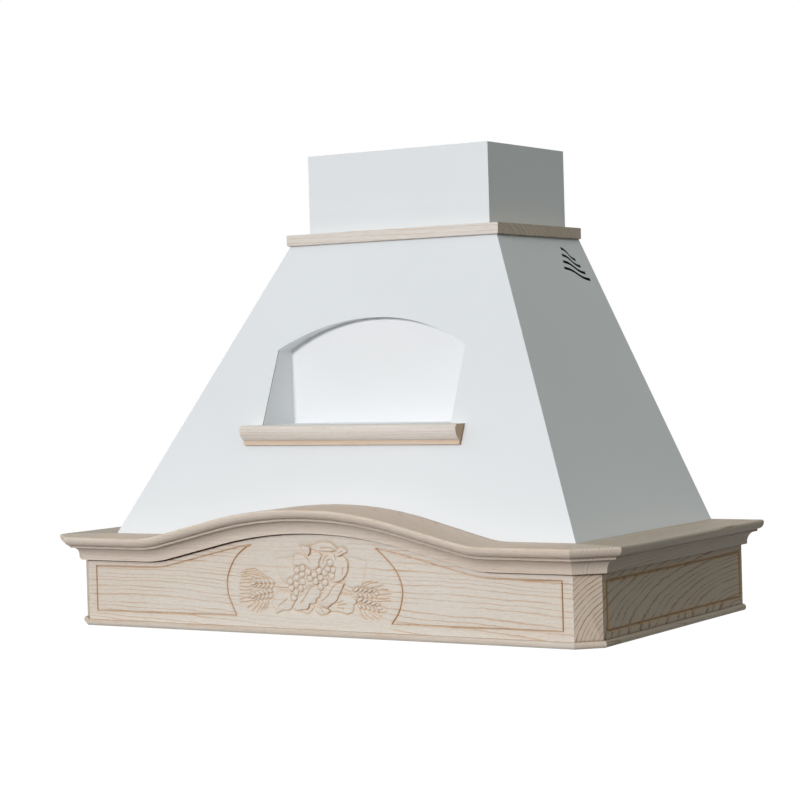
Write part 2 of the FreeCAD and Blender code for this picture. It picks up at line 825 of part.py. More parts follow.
filter_near = d.filter_bar_gap / 2
filter_far = panel_half - d.filter_side_setback
filter_front = d.panel_depth - d.filter_front_setback
filter_middle = (filter_near + filter_far) / 2
lamp_x = panel_half - d.lamp_side_setback
bezel_half = d.bezel_length / 2
bezel_half_width = d.bezel_width / 2
collar_half = bezel_half - d.bezel_lip
collar_half_width = bezel_half_width - d.bezel_lip
tongue_half = d.tongue_width / 2
tray_back = -2 * d.sheet

frame_screw_sides = [-side_front * share for share in SIDE_SCREW_SHARES]
frame_screw_fronts = [front_half * share for share in FRONT_SCREW_SHARES]


def frame_screw_rods(name, radius, length, start):
    """Rods at the frame screws; start is how far inside the tray's wall each one begins."""
    rods = []
    for i, y in enumerate(frame_screw_sides):
        x = tray_half - d.sheet - start
        rods.append(rod("%s_right_%d" % (name, i), "X", radius, length, x, y, d.frame_screw_height))
        rods.append(rod("%s_left_%d" % (name, i), "X", radius, length, -x - length, y, d.frame_screw_height))
    for i, x in enumerate(frame_screw_fronts):
        y = d.sheet + start - tray_front
        rods.append(rod("%s_front_%d" % (name, i), "Y", radius, length, x, y - length, d.frame_screw_height))
    return rods


def floor_cut(name, x0, x1, y0, y1):
    return box(name, x0, x1, y0, y1, d.tray_bottom - d.overrun, tray_floor + d.overrun)


def both_sides(item):
    return [item, mirrored(item.Name + "_left", item)]


tray_block = box("tray_block", -tray_half, tray_half, -tray_front, -d.sheet, d.tray_bottom, panel_top)
tray_hollow = box(
    "tray_hollow", d.sheet - tray_half, tray_half - d.sheet, d.sheet - tray_front, tray_back,
    tray_floor, panel_top - d.sheet)
tray_mouth = box(
    "tray_mouth", d.tray_flange - tray_half, tray_half - d.tray_flange, d.tray_flange - tray_front, tray_back,
    tray_floor, panel_top + d.overrun)
filter_hole = floor_cut("filter_hole", filter_near, filter_far, -filter_front, -d.filter_rear)
notch_half = tongue_half + d.notch_margin
tongue_notch = floor_cut(
    "tongue_notch", filter_middle - notch_half, filter_middle + notch_half,
    -filter_front - d.tongue_reach - d.notch_margin, -filter_front + d.overrun)
lamp_hole = rod(
    "lamp_hole", "Z", d.lamp_radius + d.fit_gap, d.overrun * 2, lamp_x, controls_y,
    d.tray_bottom - d.overrun)
bezel_hole = floor_cut(
    "bezel_hole", -collar_half - d.fit_gap, collar_half + d.fit_gap,
    controls_y - collar_half_width - d.fit_gap, controls_y + collar_half_width + d.fit_gap)
base_tray = cut(
    "base_tray", tray_block,
    [tray_hollow, tray_mouth, bezel_hole] + both_sides(filter_hole) + both_sides(tongue_notch)
    + both_sides(lamp_hole) + frame_screw_rods("tray_pilot", hole_radius, d.sheet + d.overrun, d.overrun / 2))

# Panels with the pilot holes of the frame screws

screw_reach = d.screw_length - d.sheet
drilled_front_panel = cut(
    "drilled_front_panel", front_panel,
    [rod("front_pilot_%d" % i, "Y", hole_radius, screw_reach + d.screw_clearance, x,
         -tray_front - screw_reach - d.screw_clearance, d.frame_screw_height)
     for i, x in enumerate(frame_screw_fronts)])
drilled_side_panel = cut(
    "drilled_side_panel", side_panel_right,
    [rod("side_pilot_%d" % i, "X", hole_radius, screw_reach + d.screw_clearance, tray_half, y,
         d.frame_screw_height)
     for i, y in enumerate(frame_screw_sides)])
frame_screws = fused(
    "frame_screws",
    frame_screw_rods("frame_shank", d.screw_radius, d.screw_length, ZERO)
    + frame_screw_rods("frame_head", d.screw_head_radius, d.screw_head_height, d.screw_head_height))

# Grease filter of the right side: frame, mesh and latch

frame_near = filter_near + d.filter_clearance
frame_far = filter_far - d.filter_clearance
frame_front = d.filter_clearance - filter_front
frame_top = d.tray_bottom + d.filter_thickness
mesh_near = frame_near + d.filter_rim
mesh_far = frame_far - d.filter_rim
mesh_front = frame_front + d.filter_front_rim
mesh_rear = -d.filter_rear - d.filter_rim
latch_half = d.latch_width / 2
recess_front = frame_front + d.latch_wall
recess_rear = recess_front + d.latch_depth + d.latch_travel + d.latch_gap * 2
recess_top = frame_top - d.latch_roof
tongue_low = d.tray_bottom + d.tongue_lift
tongue_top = tongue_low + d.tongue_thickness
tab_low = tray_floor + d.tab_lift

filter_slab = box(
    "filter_slab", frame_near, frame_far, frame_front, -d.filter_rear - d.fit_gap, d.tray_bottom, frame_top)
filter_window = box(
    "filter_window", mesh_near, mesh_far, mesh_front, mesh_rear,
    d.tray_bottom - d.overrun, frame_top + d.overrun)
latch_recess = box(
    "latch_recess", filter_middle - latch_half - d.latch_gap, filter_middle + latch_half + d.latch_gap,
    recess_front, recess_rear, d.tray_bottom - d.overrun, recess_top)
tongue_slot = box(
    "tongue_slot", filter_middle - tongue_half - d.latch_gap, filter_middle + tongue_half + d.latch_gap,
    frame_front - d.overrun, recess_front + d.overrun, tongue_low - d.latch_gap, tongue_top + d.latch_gap)
filter_tabs = [
    box("filter_tab_%d" % i, x, x + d.tab_width, -d.filter_rear - d.filter_rim, d.tab_length - d.filter_rear,
        tab_low, tab_low + d.tab_thickness)
    for i, x in enumerate((frame_near + d.filter_rim, frame_far - d.filter_rim - d.tab_width))]
filter_frame_right = fused(
    "filter_frame_right",
    [cut("filter_rim_right", filter_slab, [filter_window, latch_recess, tongue_slot])] + filter_tabs)
filter_mesh_right = box(
    "filter_mesh_right", mesh_near, mesh_far, mesh_front, mesh_rear,
    d.tray_bottom + d.filter_mesh_inset, frame_top - d.filter_mesh_inset)
latch_front = recess_front + d.latch_gap
filter_latch_right = fused("filter_latch_right", [
    box("latch_block", filter_middle - latch_half, filter_middle + latch_half, latch_front,
        latch_front + d.latch_depth, d.tray_bottom - d.latch_grip, recess_top - d.latch_gap),
    box("latch_tongue", filter_middle - tongue_half, filter_middle + tongue_half,
        -filter_front - d.tongue_reach, latch_front + d.latch_wall, tongue_low, tongue_top)])

# Lamp of the right side

lamp_low = d.tray_bottom - d.lamp_flange_thickness
lamp_housing_right = cut(
    "lamp_housing_right",
    fused("lamp_can", [
        rod("lamp_barrel", "Z", d.lamp_radius, d.lamp_height, lamp_x, controls_y, d.tray_bottom),
        rod("lamp_flange_ring", "Z", d.lamp_radius + d.lamp_flange, d.lamp_flange_thickness,
            lamp_x, controls_y, lamp_low)]),
    [rod("lamp_bore", "Z", d.lamp_radius - d.lamp_wall, d.lamp_height, lamp_x, controls_y,
         lamp_low - d.lamp_wall)])
lamp_lens_right = rod(
    "lamp_lens_right", "Z", d.lamp_radius - d.lamp_wall, d.lens_thickness, lamp_x, controls_y,
    lamp_low + d.lens_inset)

# Push buttons in their bezel, with the switch box above

bezel_low = d.tray_bottom - d.bezel_thickness
bezel_top = d.tray_bottom + d.bezel_collar
button_places = [d.button_pitch * (i - (BUTTON_COUNT - 1) / 2) for i in range(BUTTON_COUNT)]


def at_controls(name, x, half_x, half_y, low, top):
    """A block centred on the row of buttons."""
    return box(name, x - half_x, x + half_x, controls_y - half_y, controls_y + half_y, low, top)


button_half = d.button_length / 2
button_half_width = d.button_width / 2
control_bezel = cut(
    "control_bezel",
    fused("bezel_block", [
        at_controls("bezel_face", ZERO, bezel_half, bezel_half_width, bezel_low, d.tray_bottom),
        at_controls("bezel_neck", ZERO, collar_half, collar_half_width, d.tray_bottom, bezel_top)]),
    [at_controls("button_hole_%d" % i, x, button_half + d.button_gap, button_half_width + d.button_gap,
                 bezel_low - d.overrun, bezel_top + d.overrun)
     for i, x in enumerate(button_places)])
flange_low = bezel_top + d.fit_gap
buttons = [
    fused("button_%d" % (i + 1), [
        at_controls("button_cap_%d" % i, x, button_half, button_half_width, bezel_low - d.button_proud,
                    bezel_top + d.button_stem),
        at_controls("button_stop_%d" % i, x, button_half + d.button_flange,
                    button_half_width + d.button_flange, flange_low, flange_low + d.button_flange_thickness)])
    for i, x in enumerate(button_places)]
switch_top = tray_floor + d.switch_box_height
switch_box = cut(
    "switch_box",
    at_controls("switch_case", ZERO, bezel_half + d.switch_box_margin, bezel_half_width + d.switch_box_margin,
                tray_floor, switch_top),
    [at_controls("switch_cavity", ZERO, bezel_half, bezel_half_width, tray_floor - d.overrun,
                 switch_top - d.switch_box_wall)])

# Blower scroll, in two halves, hung below the top plate

axis_y = outlet_rear - scroll_end_radius
wheel_radius = scroll_end_radius - 2 * d.scroll_step - d.wheel_clearance
inlet_radius = wheel_radius - d.inlet_step
axis_z = d.blower_axis_height


def scroll_outline(skin, top):
    """Corners of the scroll: three quarter arcs of growing radius, then a plumb outlet."""
    rear = outlet_rear + skin
    front = outlet_front - skin
    large = scroll_end_radius + skin
    medium = large - d.scroll_step
    small = medium - d.scroll_step
    low_centre = axis_z - d.scroll_step
    return [
        Corner(rear, top),
        Corner(rear, axis_z),
        Corner(axis_y, axis_z - large, large, -1),
        Corner(axis_y - medium, low_centre, medium, -1),
        Corner(axis_y - d.scroll_step, low_centre + small, small, -1),
        Corner(front, low_centre + small),
        Corner(front, top),
    ]


scroll_block = prism(
    "scroll_block", "YZ_Plane", scroll_outline(d.scroll_wall, neck_under),
    ZERO, d.scroll_half_width + d.scroll_wall)
scroll_cavity = prism(
    "scroll_cavity", "YZ_Plane", scroll_outline(ZERO, d.neck_top),
    -d.overrun, d.scroll_half_width + d.overrun)
scroll_flange = box(
    "scroll_flange", ZERO, flange_half_x, outlet_front - d.outlet_flange, outlet_rear + d.outlet_flange,
    neck_under - d.scroll_wall, neck_under)
inlet_hole = rod(
    "inlet_hole", "X", inlet_radius, d.scroll_wall + d.overrun, d.scroll_half_width - d.overrun / 2,
    axis_y, axis_z)
blower_housing_right = cut(
    "blower_housing_right", fused("scroll_half", [scroll_block, scroll_flange]),
    [scroll_cavity, inlet_hole] + blower_holes("flange_hole"))
blower_screws = fused(
    "blower_screws",
    [rod("blower_shank_%d" % i, "Z", d.screw_radius, d.screw_length, x, y, d.neck_top - d.screw_length)
     for i, (x, y) in enumerate(blower_screw_places)]
    + [rod("blower_head_%d" % i, "Z", d.screw_head_radius, d.screw_head_height, x, y, d.neck_top)
       for i, (x, y) in enumerate(blower_screw_places)])

# Fan wheel: disc, hub, rims and a ring of blades


def on_axis(name, radius, length, start):
    """A cylinder on the fan's axis, from x = start to the right."""
    return rod(name, "X", radius, length, start, axis_y, axis_z)


blade_inner = wheel_radius * BLADE_INNER_SHARE
blade_lean = wheel_radius * BLADE_LEAN_SHARE
blade_outer = wheel_radius - d.wheel_rim_thickness / 2
blade_half = d.blade_thickness / 2
wheel_body = new_body("wheel_blades")
pad(wheel_body, circle(wheel_body, "disc_outline", "YZ_Plane", blade_outer), d.wheel_disc, both_ways=True)
blade = pad(
    wheel_body,
    sketch(wheel_body, "blade_outline", "YZ_Plane",
           [Corner(blade_inner, -blade_half), Corner(blade_outer, blade_lean - blade_half),
            Corner(blade_outer, blade_lean + blade_half), Corner(blade_inner, blade_half)]),
    d.wheel_half_width * 2, both_ways=True)
doc.recompute()
blade_ring = wheel_body.newObject("PartDesign::PolarPattern", "blade_ring")
blade_ring.Originals = [blade]
blade_ring.Axis = ([f for f in wheel_body.Origin.OriginFeatures if f.Role == "X_Axis"][0], [""])
blade_ring.Angle = 360
blade_ring.Occurrences = BLADE_COUNT
wheel_body.Tip = blade_ring
place(wheel_body, ZERO, axis_y, axis_z)


def wheel_rim(name, start):
    return cut(
        name, on_axis(name + "_disc", wheel_radius, d.wheel_rim_thickness, start),
        [on_axis(name + "_bore", wheel_radius - d.wheel_rim, d.wheel_rim_thickness + d.overrun,
                 start - d.overrun / 2)])


fan_wheel = cut(
    "fan_wheel",
    fused("wheel_assembly", [
        wheel_body,
        wheel_rim("rim_left", -d.wheel_half_width - d.wheel_rim_thickness / 2),
        wheel_rim("rim_right", d.wheel_half_width - d.wheel_rim_thickness / 2),
        on_axis("wheel_hub", d.hub_radius, d.hub_half_length * 2, -d.hub_half_length)]),
    [on_axis("hub_bore", d.shaft_radius, d.hub_half_length * 2 + d.overrun,
             -d.hub_half_length - d.overrun / 2)])

# Motor in the left half of the wheel, held by a three-armed bracket

motor_face = -d.hub_half_length - d.motor_gap
shaft_start = motor_face - d.shaft_seat
motor_body = cut(
    "motor_body", on_axis("motor_can", d.motor_radius, d.motor_length, motor_face - d.motor_length),
    [on_axis("motor_bore", d.shaft_radius + d.shaft_fit, d.shaft_seat + d.overrun,
             shaft_start - d.shaft_fit)])
motor_shaft = on_axis("motor_shaft", d.shaft_radius, d.shaft_overhang - shaft_start, shaft_start)
bracket_face = -d.scroll_half_width - d.scroll_wall
ring_outer = inlet_radius + d.bracket_ring
arm_half = d.arm_width / 2
bracket_arms = []
for i in range(BRACKET_ARM_COUNT):
    turn = 360 / BRACKET_ARM_COUNT * i
    arm = doc.addObject("Part::Box", "bracket_arm_%d" % i)
    bind(arm, "Length", d.bracket_sheet)
    bind(arm, "Width", d.arm_width)
    bind(arm, "Height", inlet_radius + d.bracket_ring / 2)
    across = arm_half * math.cos(math.radians(turn))
    along = arm_half * math.sin(math.radians(turn))
    place(arm, bracket_face - d.bracket_sheet, axis_y - across, axis_z - along,
          FreeCAD.Rotation(FreeCAD.Vector(1, 0, 0), turn))
    bracket_arms.append(arm)
motor_bracket = cut(
    "motor_bracket",
    fused("bracket_spider", bracket_arms + [
        cut("bracket_ring_plate",
            on_axis("ring_disc", ring_outer, d.bracket_sheet, bracket_face - d.bracket_sheet),
            [on_axis("ring_bore", inlet_radius, d.bracket_sheet + d.overrun,
                     bracket_face - d.bracket_sheet - d.overrun / 2)]),
        on_axis("motor_clamp", d.motor_radius + d.clamp_wall, d.clamp_length,
                bracket_face - d.clamp_length)]),
    [on_axis("clamp_bore", d.motor_radius + d.shaft_fit, d.clamp_length + d.overrun,
             bracket_face - d.clamp_length - d.overrun / 2)])

# Outlet collar with two non-return flaps on one pin


def on_duct(name, radius, height, low):
    """A cylinder on the duct's axis, from z = low upwards."""
    return rod(name, "Z", radius, height, ZERO, duct_y, low)


outlet_collar = cut(
    "outlet_collar",
    fused("collar_blank", [
        on_duct("collar_tube", d.collar_radius, d.collar_height, d.neck_top),
        on_duct("collar_foot", d.collar_radius + d.collar_flange, d.collar_flange_thickness, d.neck_top)]),
    [on_duct("collar_hole", collar_bore, d.collar_height + d.overrun * 2, d.neck_top - d.overrun)])
flap_z = d.neck_top + d.flap_axis_height
flap_radius = collar_bore - d.flap_clearance
pin_half = flap_radius + d.flap_clearance - d.knuckle_relief / 2
flap_pin = rod("flap_pin", "X", d.flap_pin_radius, pin_half * 2, -pin_half, duct_y, flap_z)
knuckle_radius = d.flap_pin_radius + d.knuckle_wall
flap_edge = knuckle_radius + d.knuckle_relief
flap_low = flap_z - d.flap_thickness / 2
knuckle_step = d.knuckle_length + d.knuckle_gap


def flap(name, way, first):
    """A half disc to the front (-1) or rear (1), with two knuckles; first is the place of the first one."""
    inner = duct_y + flap_edge * way
    outer = duct_y + (flap_radius + d.overrun) * way
    near, far = (outer, inner) if way < 0 else (inner, outer)
    leaf = common(
        name + "_leaf", on_duct(name + "_disc", flap_radius, d.flap_thickness, flap_low),
        box(name + "_half", -flap_radius, flap_radius, near, far, flap_low, flap_low + d.flap_thickness))
    pieces = [leaf]
    for i in range(KNUCKLES_ON_A_FLAP):
        x = first + knuckle_step * 2 * i
        start, end = (inner - knuckle_radius, duct_y) if way < 0 else (duct_y, inner + knuckle_radius)
        pieces.append(rod("%s_knuckle_%d" % (name, i), "X", knuckle_radius, d.knuckle_length,
                          x, duct_y, flap_z))
        pieces.append(box("%s_web_%d" % (name, i), x, x + d.knuckle_length, start, end,
                          flap_low, flap_low + d.flap_thickness))
    bore = rod(name + "_bore", "X", d.flap_pin_radius + d.shaft_fit, flap_radius * 2,
               -flap_radius, duct_y, flap_z)
    return cut(name, fused(name + "_blank", pieces), [bore])


flap_front = flap("flap_front", -1, -knuckle_step * 2 + d.knuckle_gap / 2)
flap_rear = flap("flap_rear", 1, -knuckle_step + d.knuckle_gap / 2)

# Mains connection on the back plate

junction_left = d.junction_offset - d.junction_width / 2
junction_right = d.junction_offset + d.junction_width / 2
junction_front = -d.sheet - d.junction_depth
junction_top = d.junction_bottom + d.junction_height
junction_box = cut(
    "junction_box",
    box("junction_case", junction_left, junction_right, junction_front, -d.sheet,
        d.junction_bottom, junction_top),
    [box("junction_cavity", junction_left + d.junction_wall, junction_right - d.junction_wall,
         junction_front - d.overrun, -d.sheet - d.junction_wall, d.junction_bottom + d.junction_wall,
         junction_top - d.junction_wall)])
junction_lid = box(
    "junction_lid", junction_left, junction_right, junction_front - d.junction_wall, junction_front,
    d.junction_bottom, junction_top)
junction_y = -d.sheet - d.junction_depth / 2
capacitor = rod(
    "capacitor", "Z", d.capacitor_radius, d.capacitor_height, d.junction_offset, junction_y, junction_top)
cable_gland = cut(
    "cable_gland",
    rod("gland_body", "Z", d.gland_radius, d.gland_length, d.junction_offset, junction_y,
        d.junction_bottom - d.gland_length),
    [rod("gland_hole", "Z", d.gland_bore, d.gland_length + d.overrun, d.junction_offset, junction_y,
         d.junction_bottom - d.gland_length - d.overrun / 2)])

# Pieces as they are written: single ones, then those that come in a left and a right

PIECES = {
    "front_panel": drilled_front_panel,
    "cornice_front": cornice_front,
    "base_bead_front": base_bead_front,
    "niche_shelf": niche_shelf,
    "neck_trim_front": neck_trim_front,
    "canopy_shell": canopy_shell,
    "niche_box": niche_box,
    "chimney_cover": chimney_cover,
    "chimney_bracket": chimney_bracket,
    "top_plate": top_plate,
    "back_plate": back_plate,
    "base_tray": base_tray,
    "control_bezel": control_bezel,
    "switch_box": switch_box,
    "fan_wheel": fan_wheel,
    "motor_body": motor_body,
    "motor_shaft": motor_shaft,
    "motor_bracket": motor_bracket,
    "outlet_collar": outlet_collar,
    "flap_front": flap_front,
    "flap_rear": flap_rear,
    "flap_pin": flap_pin,
    "junction_box": junction_box,
    "junction_lid": junction_lid,
    "capacitor": capacitor,
    "cable_gland": cable_gland,
    "frame_screws": frame_screws,
    "blower_screws": blower_screws,
}
for button in buttons:
    PIECES[button.Name] = button
PAIRS = {
    "corner_board": corner_board_right,
    "side_panel": drilled_side_panel,
    "cornice_corner": cornice_corner_right,
    "cornice_side": cornice_side_right,
    "base_bead_corner": base_bead_corner_right,
    "base_bead_side": base_bead_side_right,
    "neck_trim": neck_trim_right,
    "filter_frame": filter_frame_right,
    "filter_mesh": filter_mesh_right,
    "filter_latch": filter_latch_right,
    "lamp_housing": lamp_housing_right,
    "lamp_lens": lamp_lens_right,
    "blower_housing": blower_housing_right,
}
for name, right in PAIRS.items():
    PIECES[name + "_right"] = right
    PIECES[name + "_left"] = mirrored(name + "_left", right)

doc.recompute()
for item in doc.Objects:
    if "Invalid" in item.State or "Error" in item.State:
        raise RuntimeError("%s did not build: %s" % (item.Name, item.State))
# Free every node name before it is given, because labels are unique in a document
for item in doc.Objects:
    if item.Label in PIECES and item is not PIECES[item.Label]:
        item.Label = item.Label + "_blank"
for label, item in PIECES.items():
    if item.Shape.isNull() or not item.Shape.isValid() or not item.Shape.Solids:
        raise RuntimeError("%s has no valid solid" % label)
    item.Label = label

os.makedirs("parts", exist_ok=True)
for label, item in PIECES.items():
    item.Shape.exportStep("parts/%s.step" % label)
    print("%-24s %2d solids %12.1f mm3" % (label, len(item.Shape.Solids), item.Shape.Volume))
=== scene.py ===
import itertools
import json
import math

import bpy
import numpy as np
from mathutils import Matrix, Vector


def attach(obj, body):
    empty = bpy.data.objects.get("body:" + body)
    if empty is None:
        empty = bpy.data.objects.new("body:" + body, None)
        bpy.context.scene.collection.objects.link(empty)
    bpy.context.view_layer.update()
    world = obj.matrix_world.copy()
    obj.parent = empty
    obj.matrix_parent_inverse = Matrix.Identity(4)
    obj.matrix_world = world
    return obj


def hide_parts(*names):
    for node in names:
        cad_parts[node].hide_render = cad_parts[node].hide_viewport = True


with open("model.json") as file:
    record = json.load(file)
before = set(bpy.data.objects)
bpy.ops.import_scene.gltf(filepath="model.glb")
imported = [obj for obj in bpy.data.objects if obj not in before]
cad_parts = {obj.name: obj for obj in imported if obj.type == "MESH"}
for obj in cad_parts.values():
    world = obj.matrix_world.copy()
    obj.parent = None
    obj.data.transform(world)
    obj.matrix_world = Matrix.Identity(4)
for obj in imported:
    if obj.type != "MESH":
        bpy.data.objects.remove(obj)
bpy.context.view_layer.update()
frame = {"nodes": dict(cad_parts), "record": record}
nodes = frame["nodes"]
scene = bpy.context.scene
scene.view_settings.view_transform = "Standard"

MM = 0.001


def srgb(red, green, blue):
    """Linear colour of an 8-bit screen colour."""
    def linear(c):
        c /= 255
        return c / 12.92 if c <= 0.04045 else ((c + 0.055) / 1.055) ** 2.4
    return (linear(red), linear(green), linear(blue), 1.0)


# Camera, solved from the straight edges of the hood

CAMERA_PLACE = (1.677, -2.8874, 0.364)
CAMERA_YAW = math.radians(32.234)
CAMERA_PITCH = math.radians(-1.029)
CAMERA_ROLL = math.radians(-1.617)
FOCAL_PIXELS = 2225.1
IMAGE_WIDTH = 800
SENSOR = 36.0

ahead = Vector((
    -math.sin(CAMERA_YAW) * math.cos(CAMERA_PITCH),
    math.cos(CAMERA_YAW) * math.cos(CAMERA_PITCH),
    math.sin(CAMERA_PITCH)))
level_right = Vector((math.cos(CAMERA_YAW), math.sin(CAMERA_YAW), 0))
level_up = level_right.cross(ahead)
right = level_right * math.cos(CAMERA_ROLL) + level_up * math.sin(CAMERA_ROLL)
up = level_up * math.cos(CAMERA_ROLL) - level_right * math.sin(CAMERA_ROLL)
camera_data = bpy.data.cameras.new("camera")
camera_data.sensor_width = SENSOR
camera_data.sensor_fit = "HORIZONTAL"
camera_data.lens = FOCAL_PIXELS / IMAGE_WIDTH * SENSOR
camera = bpy.data.objects.new("camera", camera_data)
scene.collection.objects.link(camera)
turn = Matrix((right, up, -ahead)).transposed().to_4x4()
camera.matrix_world = Matrix.Translation(CAMERA_PLACE) @ turn
scene.camera = camera


# Node helpers

class Tree:
    """A tree of shading nodes under construction."""

    def __init__(self, tree):
        self.tree = tree

    def add(self, kind, **settings):
        item = self.tree.nodes.new("ShaderNode" + kind)
        for key, value in settings.items():
            setattr(item, key, value)
        return item

    def feed(self, socket, value):
        if isinstance(value, bpy.types.NodeSocket):
            self.tree.links.new(value, socket)
        else:
            socket.default_value = value

    def fed(self, item, *values):
        """The outputs of a node whose first inputs get these values."""
        for socket, value in zip(item.inputs, values):
            self.feed(socket, value)
        return item.outputs

    def math(self, operation, *values):
        return self.fed(self.add("Math", operation=operation), *values)[0]

    def vector(self, operation, *values):
        return self.fed(self.add("VectorMath", operation=operation), *values)

    def parts(self, vector):
        """The X, Y and Z of a vector."""
        return self.fed(self.add("SeparateXYZ"), vector)

    def span(self, value, low, high, to_low=0.0, to_high=1.0):
        """A value taken from one range to another and held at its ends."""
        item = self.add("MapRange")
        self.feed(item.inputs["Value"], value)
        item.inputs["From Min"].default_value = low
        item.inputs["From Max"].default_value = high
        item.inputs["To Min"].default_value = to_low
        item.inputs["To Max"].default_value = to_high
        return item.outputs[0]

    def seen_directly(self):
        """1 on rays from the camera, a mirror or a lens, and 0 on rays that only carry light."""
        path = self.add("LightPath").outputs
        seen = self.math("MAXIMUM", path["Is Camera Ray"], path["Is Glossy Ray"])
        return self.math("MAXIMUM", seen, path["Is Transmission Ray"])

    def choose(self, share, first, second):
        """One surface or the other, as the share says."""
        return self.fed(self.add("MixShader"), share, first, second)[0]


class Shader(Tree):
    """A material under construction."""

    def __init__(self, name, roughness, metallic=0.0):
        self.material = bpy.data.materials.new(name)
        self.material.use_nodes = True
        super().__init__(self.material.node_tree)
        self.bsdf = self.tree.nodes["Principled BSDF"]
        self.bsdf.inputs["Roughness"].default_value = roughness
        self.bsdf.inputs["Metallic"].default_value = metallic
        self.place = self.add("TexCoord").outputs["Object"]

    def normal(self):
        return self.add("NewGeometry").outputs["Normal"]

    def stretched(self, vector, scale, shift=(0, 0, 0)):
        item = self.add("Mapping")
        self.feed(item.inputs["Vector"], vector)
        item.inputs["Scale"].default_value = scale
        item.inputs["Location"].default_value = shift
        return item.outputs[0]

    def noise(self, vector, scale, detail=3.0, roughness=0.5):
        item = self.add("TexNoise")
        self.feed(item.inputs["Vector"], vector)
        item.inputs["Scale"].default_value = scale
        item.inputs["Detail"].default_value = detail
        item.inputs["Roughness"].default_value = roughness
        return item.outputs["Fac"]

    def ramp(self, value, stops):
        item = self.add("ValToRGB")
        self.feed(item.inputs[0], value)
        points = item.color_ramp.elements
        while len(points) < len(stops):
            points.new(0.5)
        for point, (place, colour) in zip(points, stops):
            point.position = place
            point.color = colour
        return item.outputs["Color"]

    def mixed(self, share, first, second, blend="MIX"):
        item = self.add("Mix", data_type="RGBA", blend_type=blend)
        self.feed(item.inputs[0], share)
        self.feed(item.inputs[6], first)
        self.feed(item.inputs[7], second)
        return item.outputs[2]

    def bump(self, height, strength, distance):
        item = self.add("Bump")
        item.inputs["Strength"].default_value = strength
        item.inputs["Distance"].default_value = distance
        self.feed(item.inputs["Height"], height)
        self.feed(self.bsdf.inputs["Normal"], item.outputs[0])

    def colour(self, value):
        self.feed(self.bsdf.inputs["Base Color"], value)

    def rough(self, value, low, high):
        self.feed(self.bsdf.inputs["Roughness"], self.span(value, 0.0, 1.0, low, high))


# Wood

WHITE = (1.0, 1.0, 1.0, 1.0)
WOOD_PALE = srgb(240, 231, 220)
WOOD_WHITE = srgb(241, 235, 229)
WOOD_WARM = srgb(237, 223, 210)
WOOD_CORNER = srgb(230, 214, 198)
# The side boards and the side rails are darker copies of the front's wood: painted shade on the sides that
# face away from the light
WOOD_SIDE_SHADED = srgb(200, 184, 165)
WOOD_RAIL_SHADED = srgb(203, 190, 175)
WOOD_BEAD = srgb(229, 220, 210)
LINE_ORANGE = srgb(216, 184, 154)
LINE_BROWN = srgb(152, 124, 96)
LINE_DARK = srgb(122, 100, 78)
LINE_CORNER = srgb(160, 120, 82)
WOOD_BURNT = srgb(206, 155, 84)
WOOD_CHARRED = srgb(196, 148, 80)
END_GRAIN = srgb(206, 184, 162)
TOP_TINT = srgb(247, 241, 237)
# Wander of the rings: changes per metre along and across the grain, and its share
RING_DRIFTS = ((4.0, 16.0, 2.2), (26.0, 44.0, 0.55))
FINE_DRIFT = (150.0, 190.0)
# Changes of ring width per metre, for rings one millimetre apart, and their size in rings
UNEVEN_RINGS = 420.0
UNEVEN_SHARE = 1.2
# Darkness across one ring, from its inner to its outer side
RING_PROFILE = ((0.0, 0.5), (0.05, 0.0), (0.7, 0.0), (0.88, 0.25), (0.94, 1.0), (1.0, 0.85))
# Fibres, pores, patches of strong figure and broad clouds: changes per metre along and across the grain
FIBRES = (14.0, 700.0)
PORES = (70.0, 1600.0)
PATCHES = (9.0, 60.0)
CLOUDS = (2.0, 9.0)
# Range of the patches' noise, and the strength of the figure at its ends
PATCH_RANGE = (0.32, 0.68)
PATCH_STRENGTHS = (0.15, 1.4)
# Share and tones of fibres, pores and clouds
FIBRE_SHARE = 0.2
FIBRE_TONES = [(0.3, srgb(196, 184, 170)), (0.7, WHITE)]
PORE_SHARE = 0.14
PORE_TONES = [(0.34, srgb(132, 104, 80)), (0.44, WHITE)]
CLOUD_SHARE = 0.3
CLOUD_TONES = [(0.3, srgb(236, 222, 208)), (0.7, WHITE)]
# Share of the figure that shows where the carving lies, and how softly it comes back, in millimetres
CALM_SHARE = 0.4
CALM_EDGE = 35.0
# How squarely a face looks along the grain to show end grain, or upwards to take a slightly darker, browner
# tint
END_FACING = (0.75, 0.95)
TOP_FACING = (0.8, 0.95)
SCORCH_SHARE = 0.4
# Reach of the painted shade in inner corners and joints in millimetres, and its tones
SHADE_REACH = 6.0
SHADE_REACH_CORNICE = 18.0
SHADE_TONES = [(0.4, srgb(108, 86, 62)), (0.9, WHITE)]
SHADE_SAMPLES = 8
WOOD_ROUGHNESS = 0.62
WOOD_ROUGH_SPREAD = 0.1
# How far a ring's line sinks against the fibres, and the strength and depth of the grain in metres
LINE_SINK = 0.6
GRAIN_STRENGTH = 0.25
GRAIN_DEPTH = 0.0003


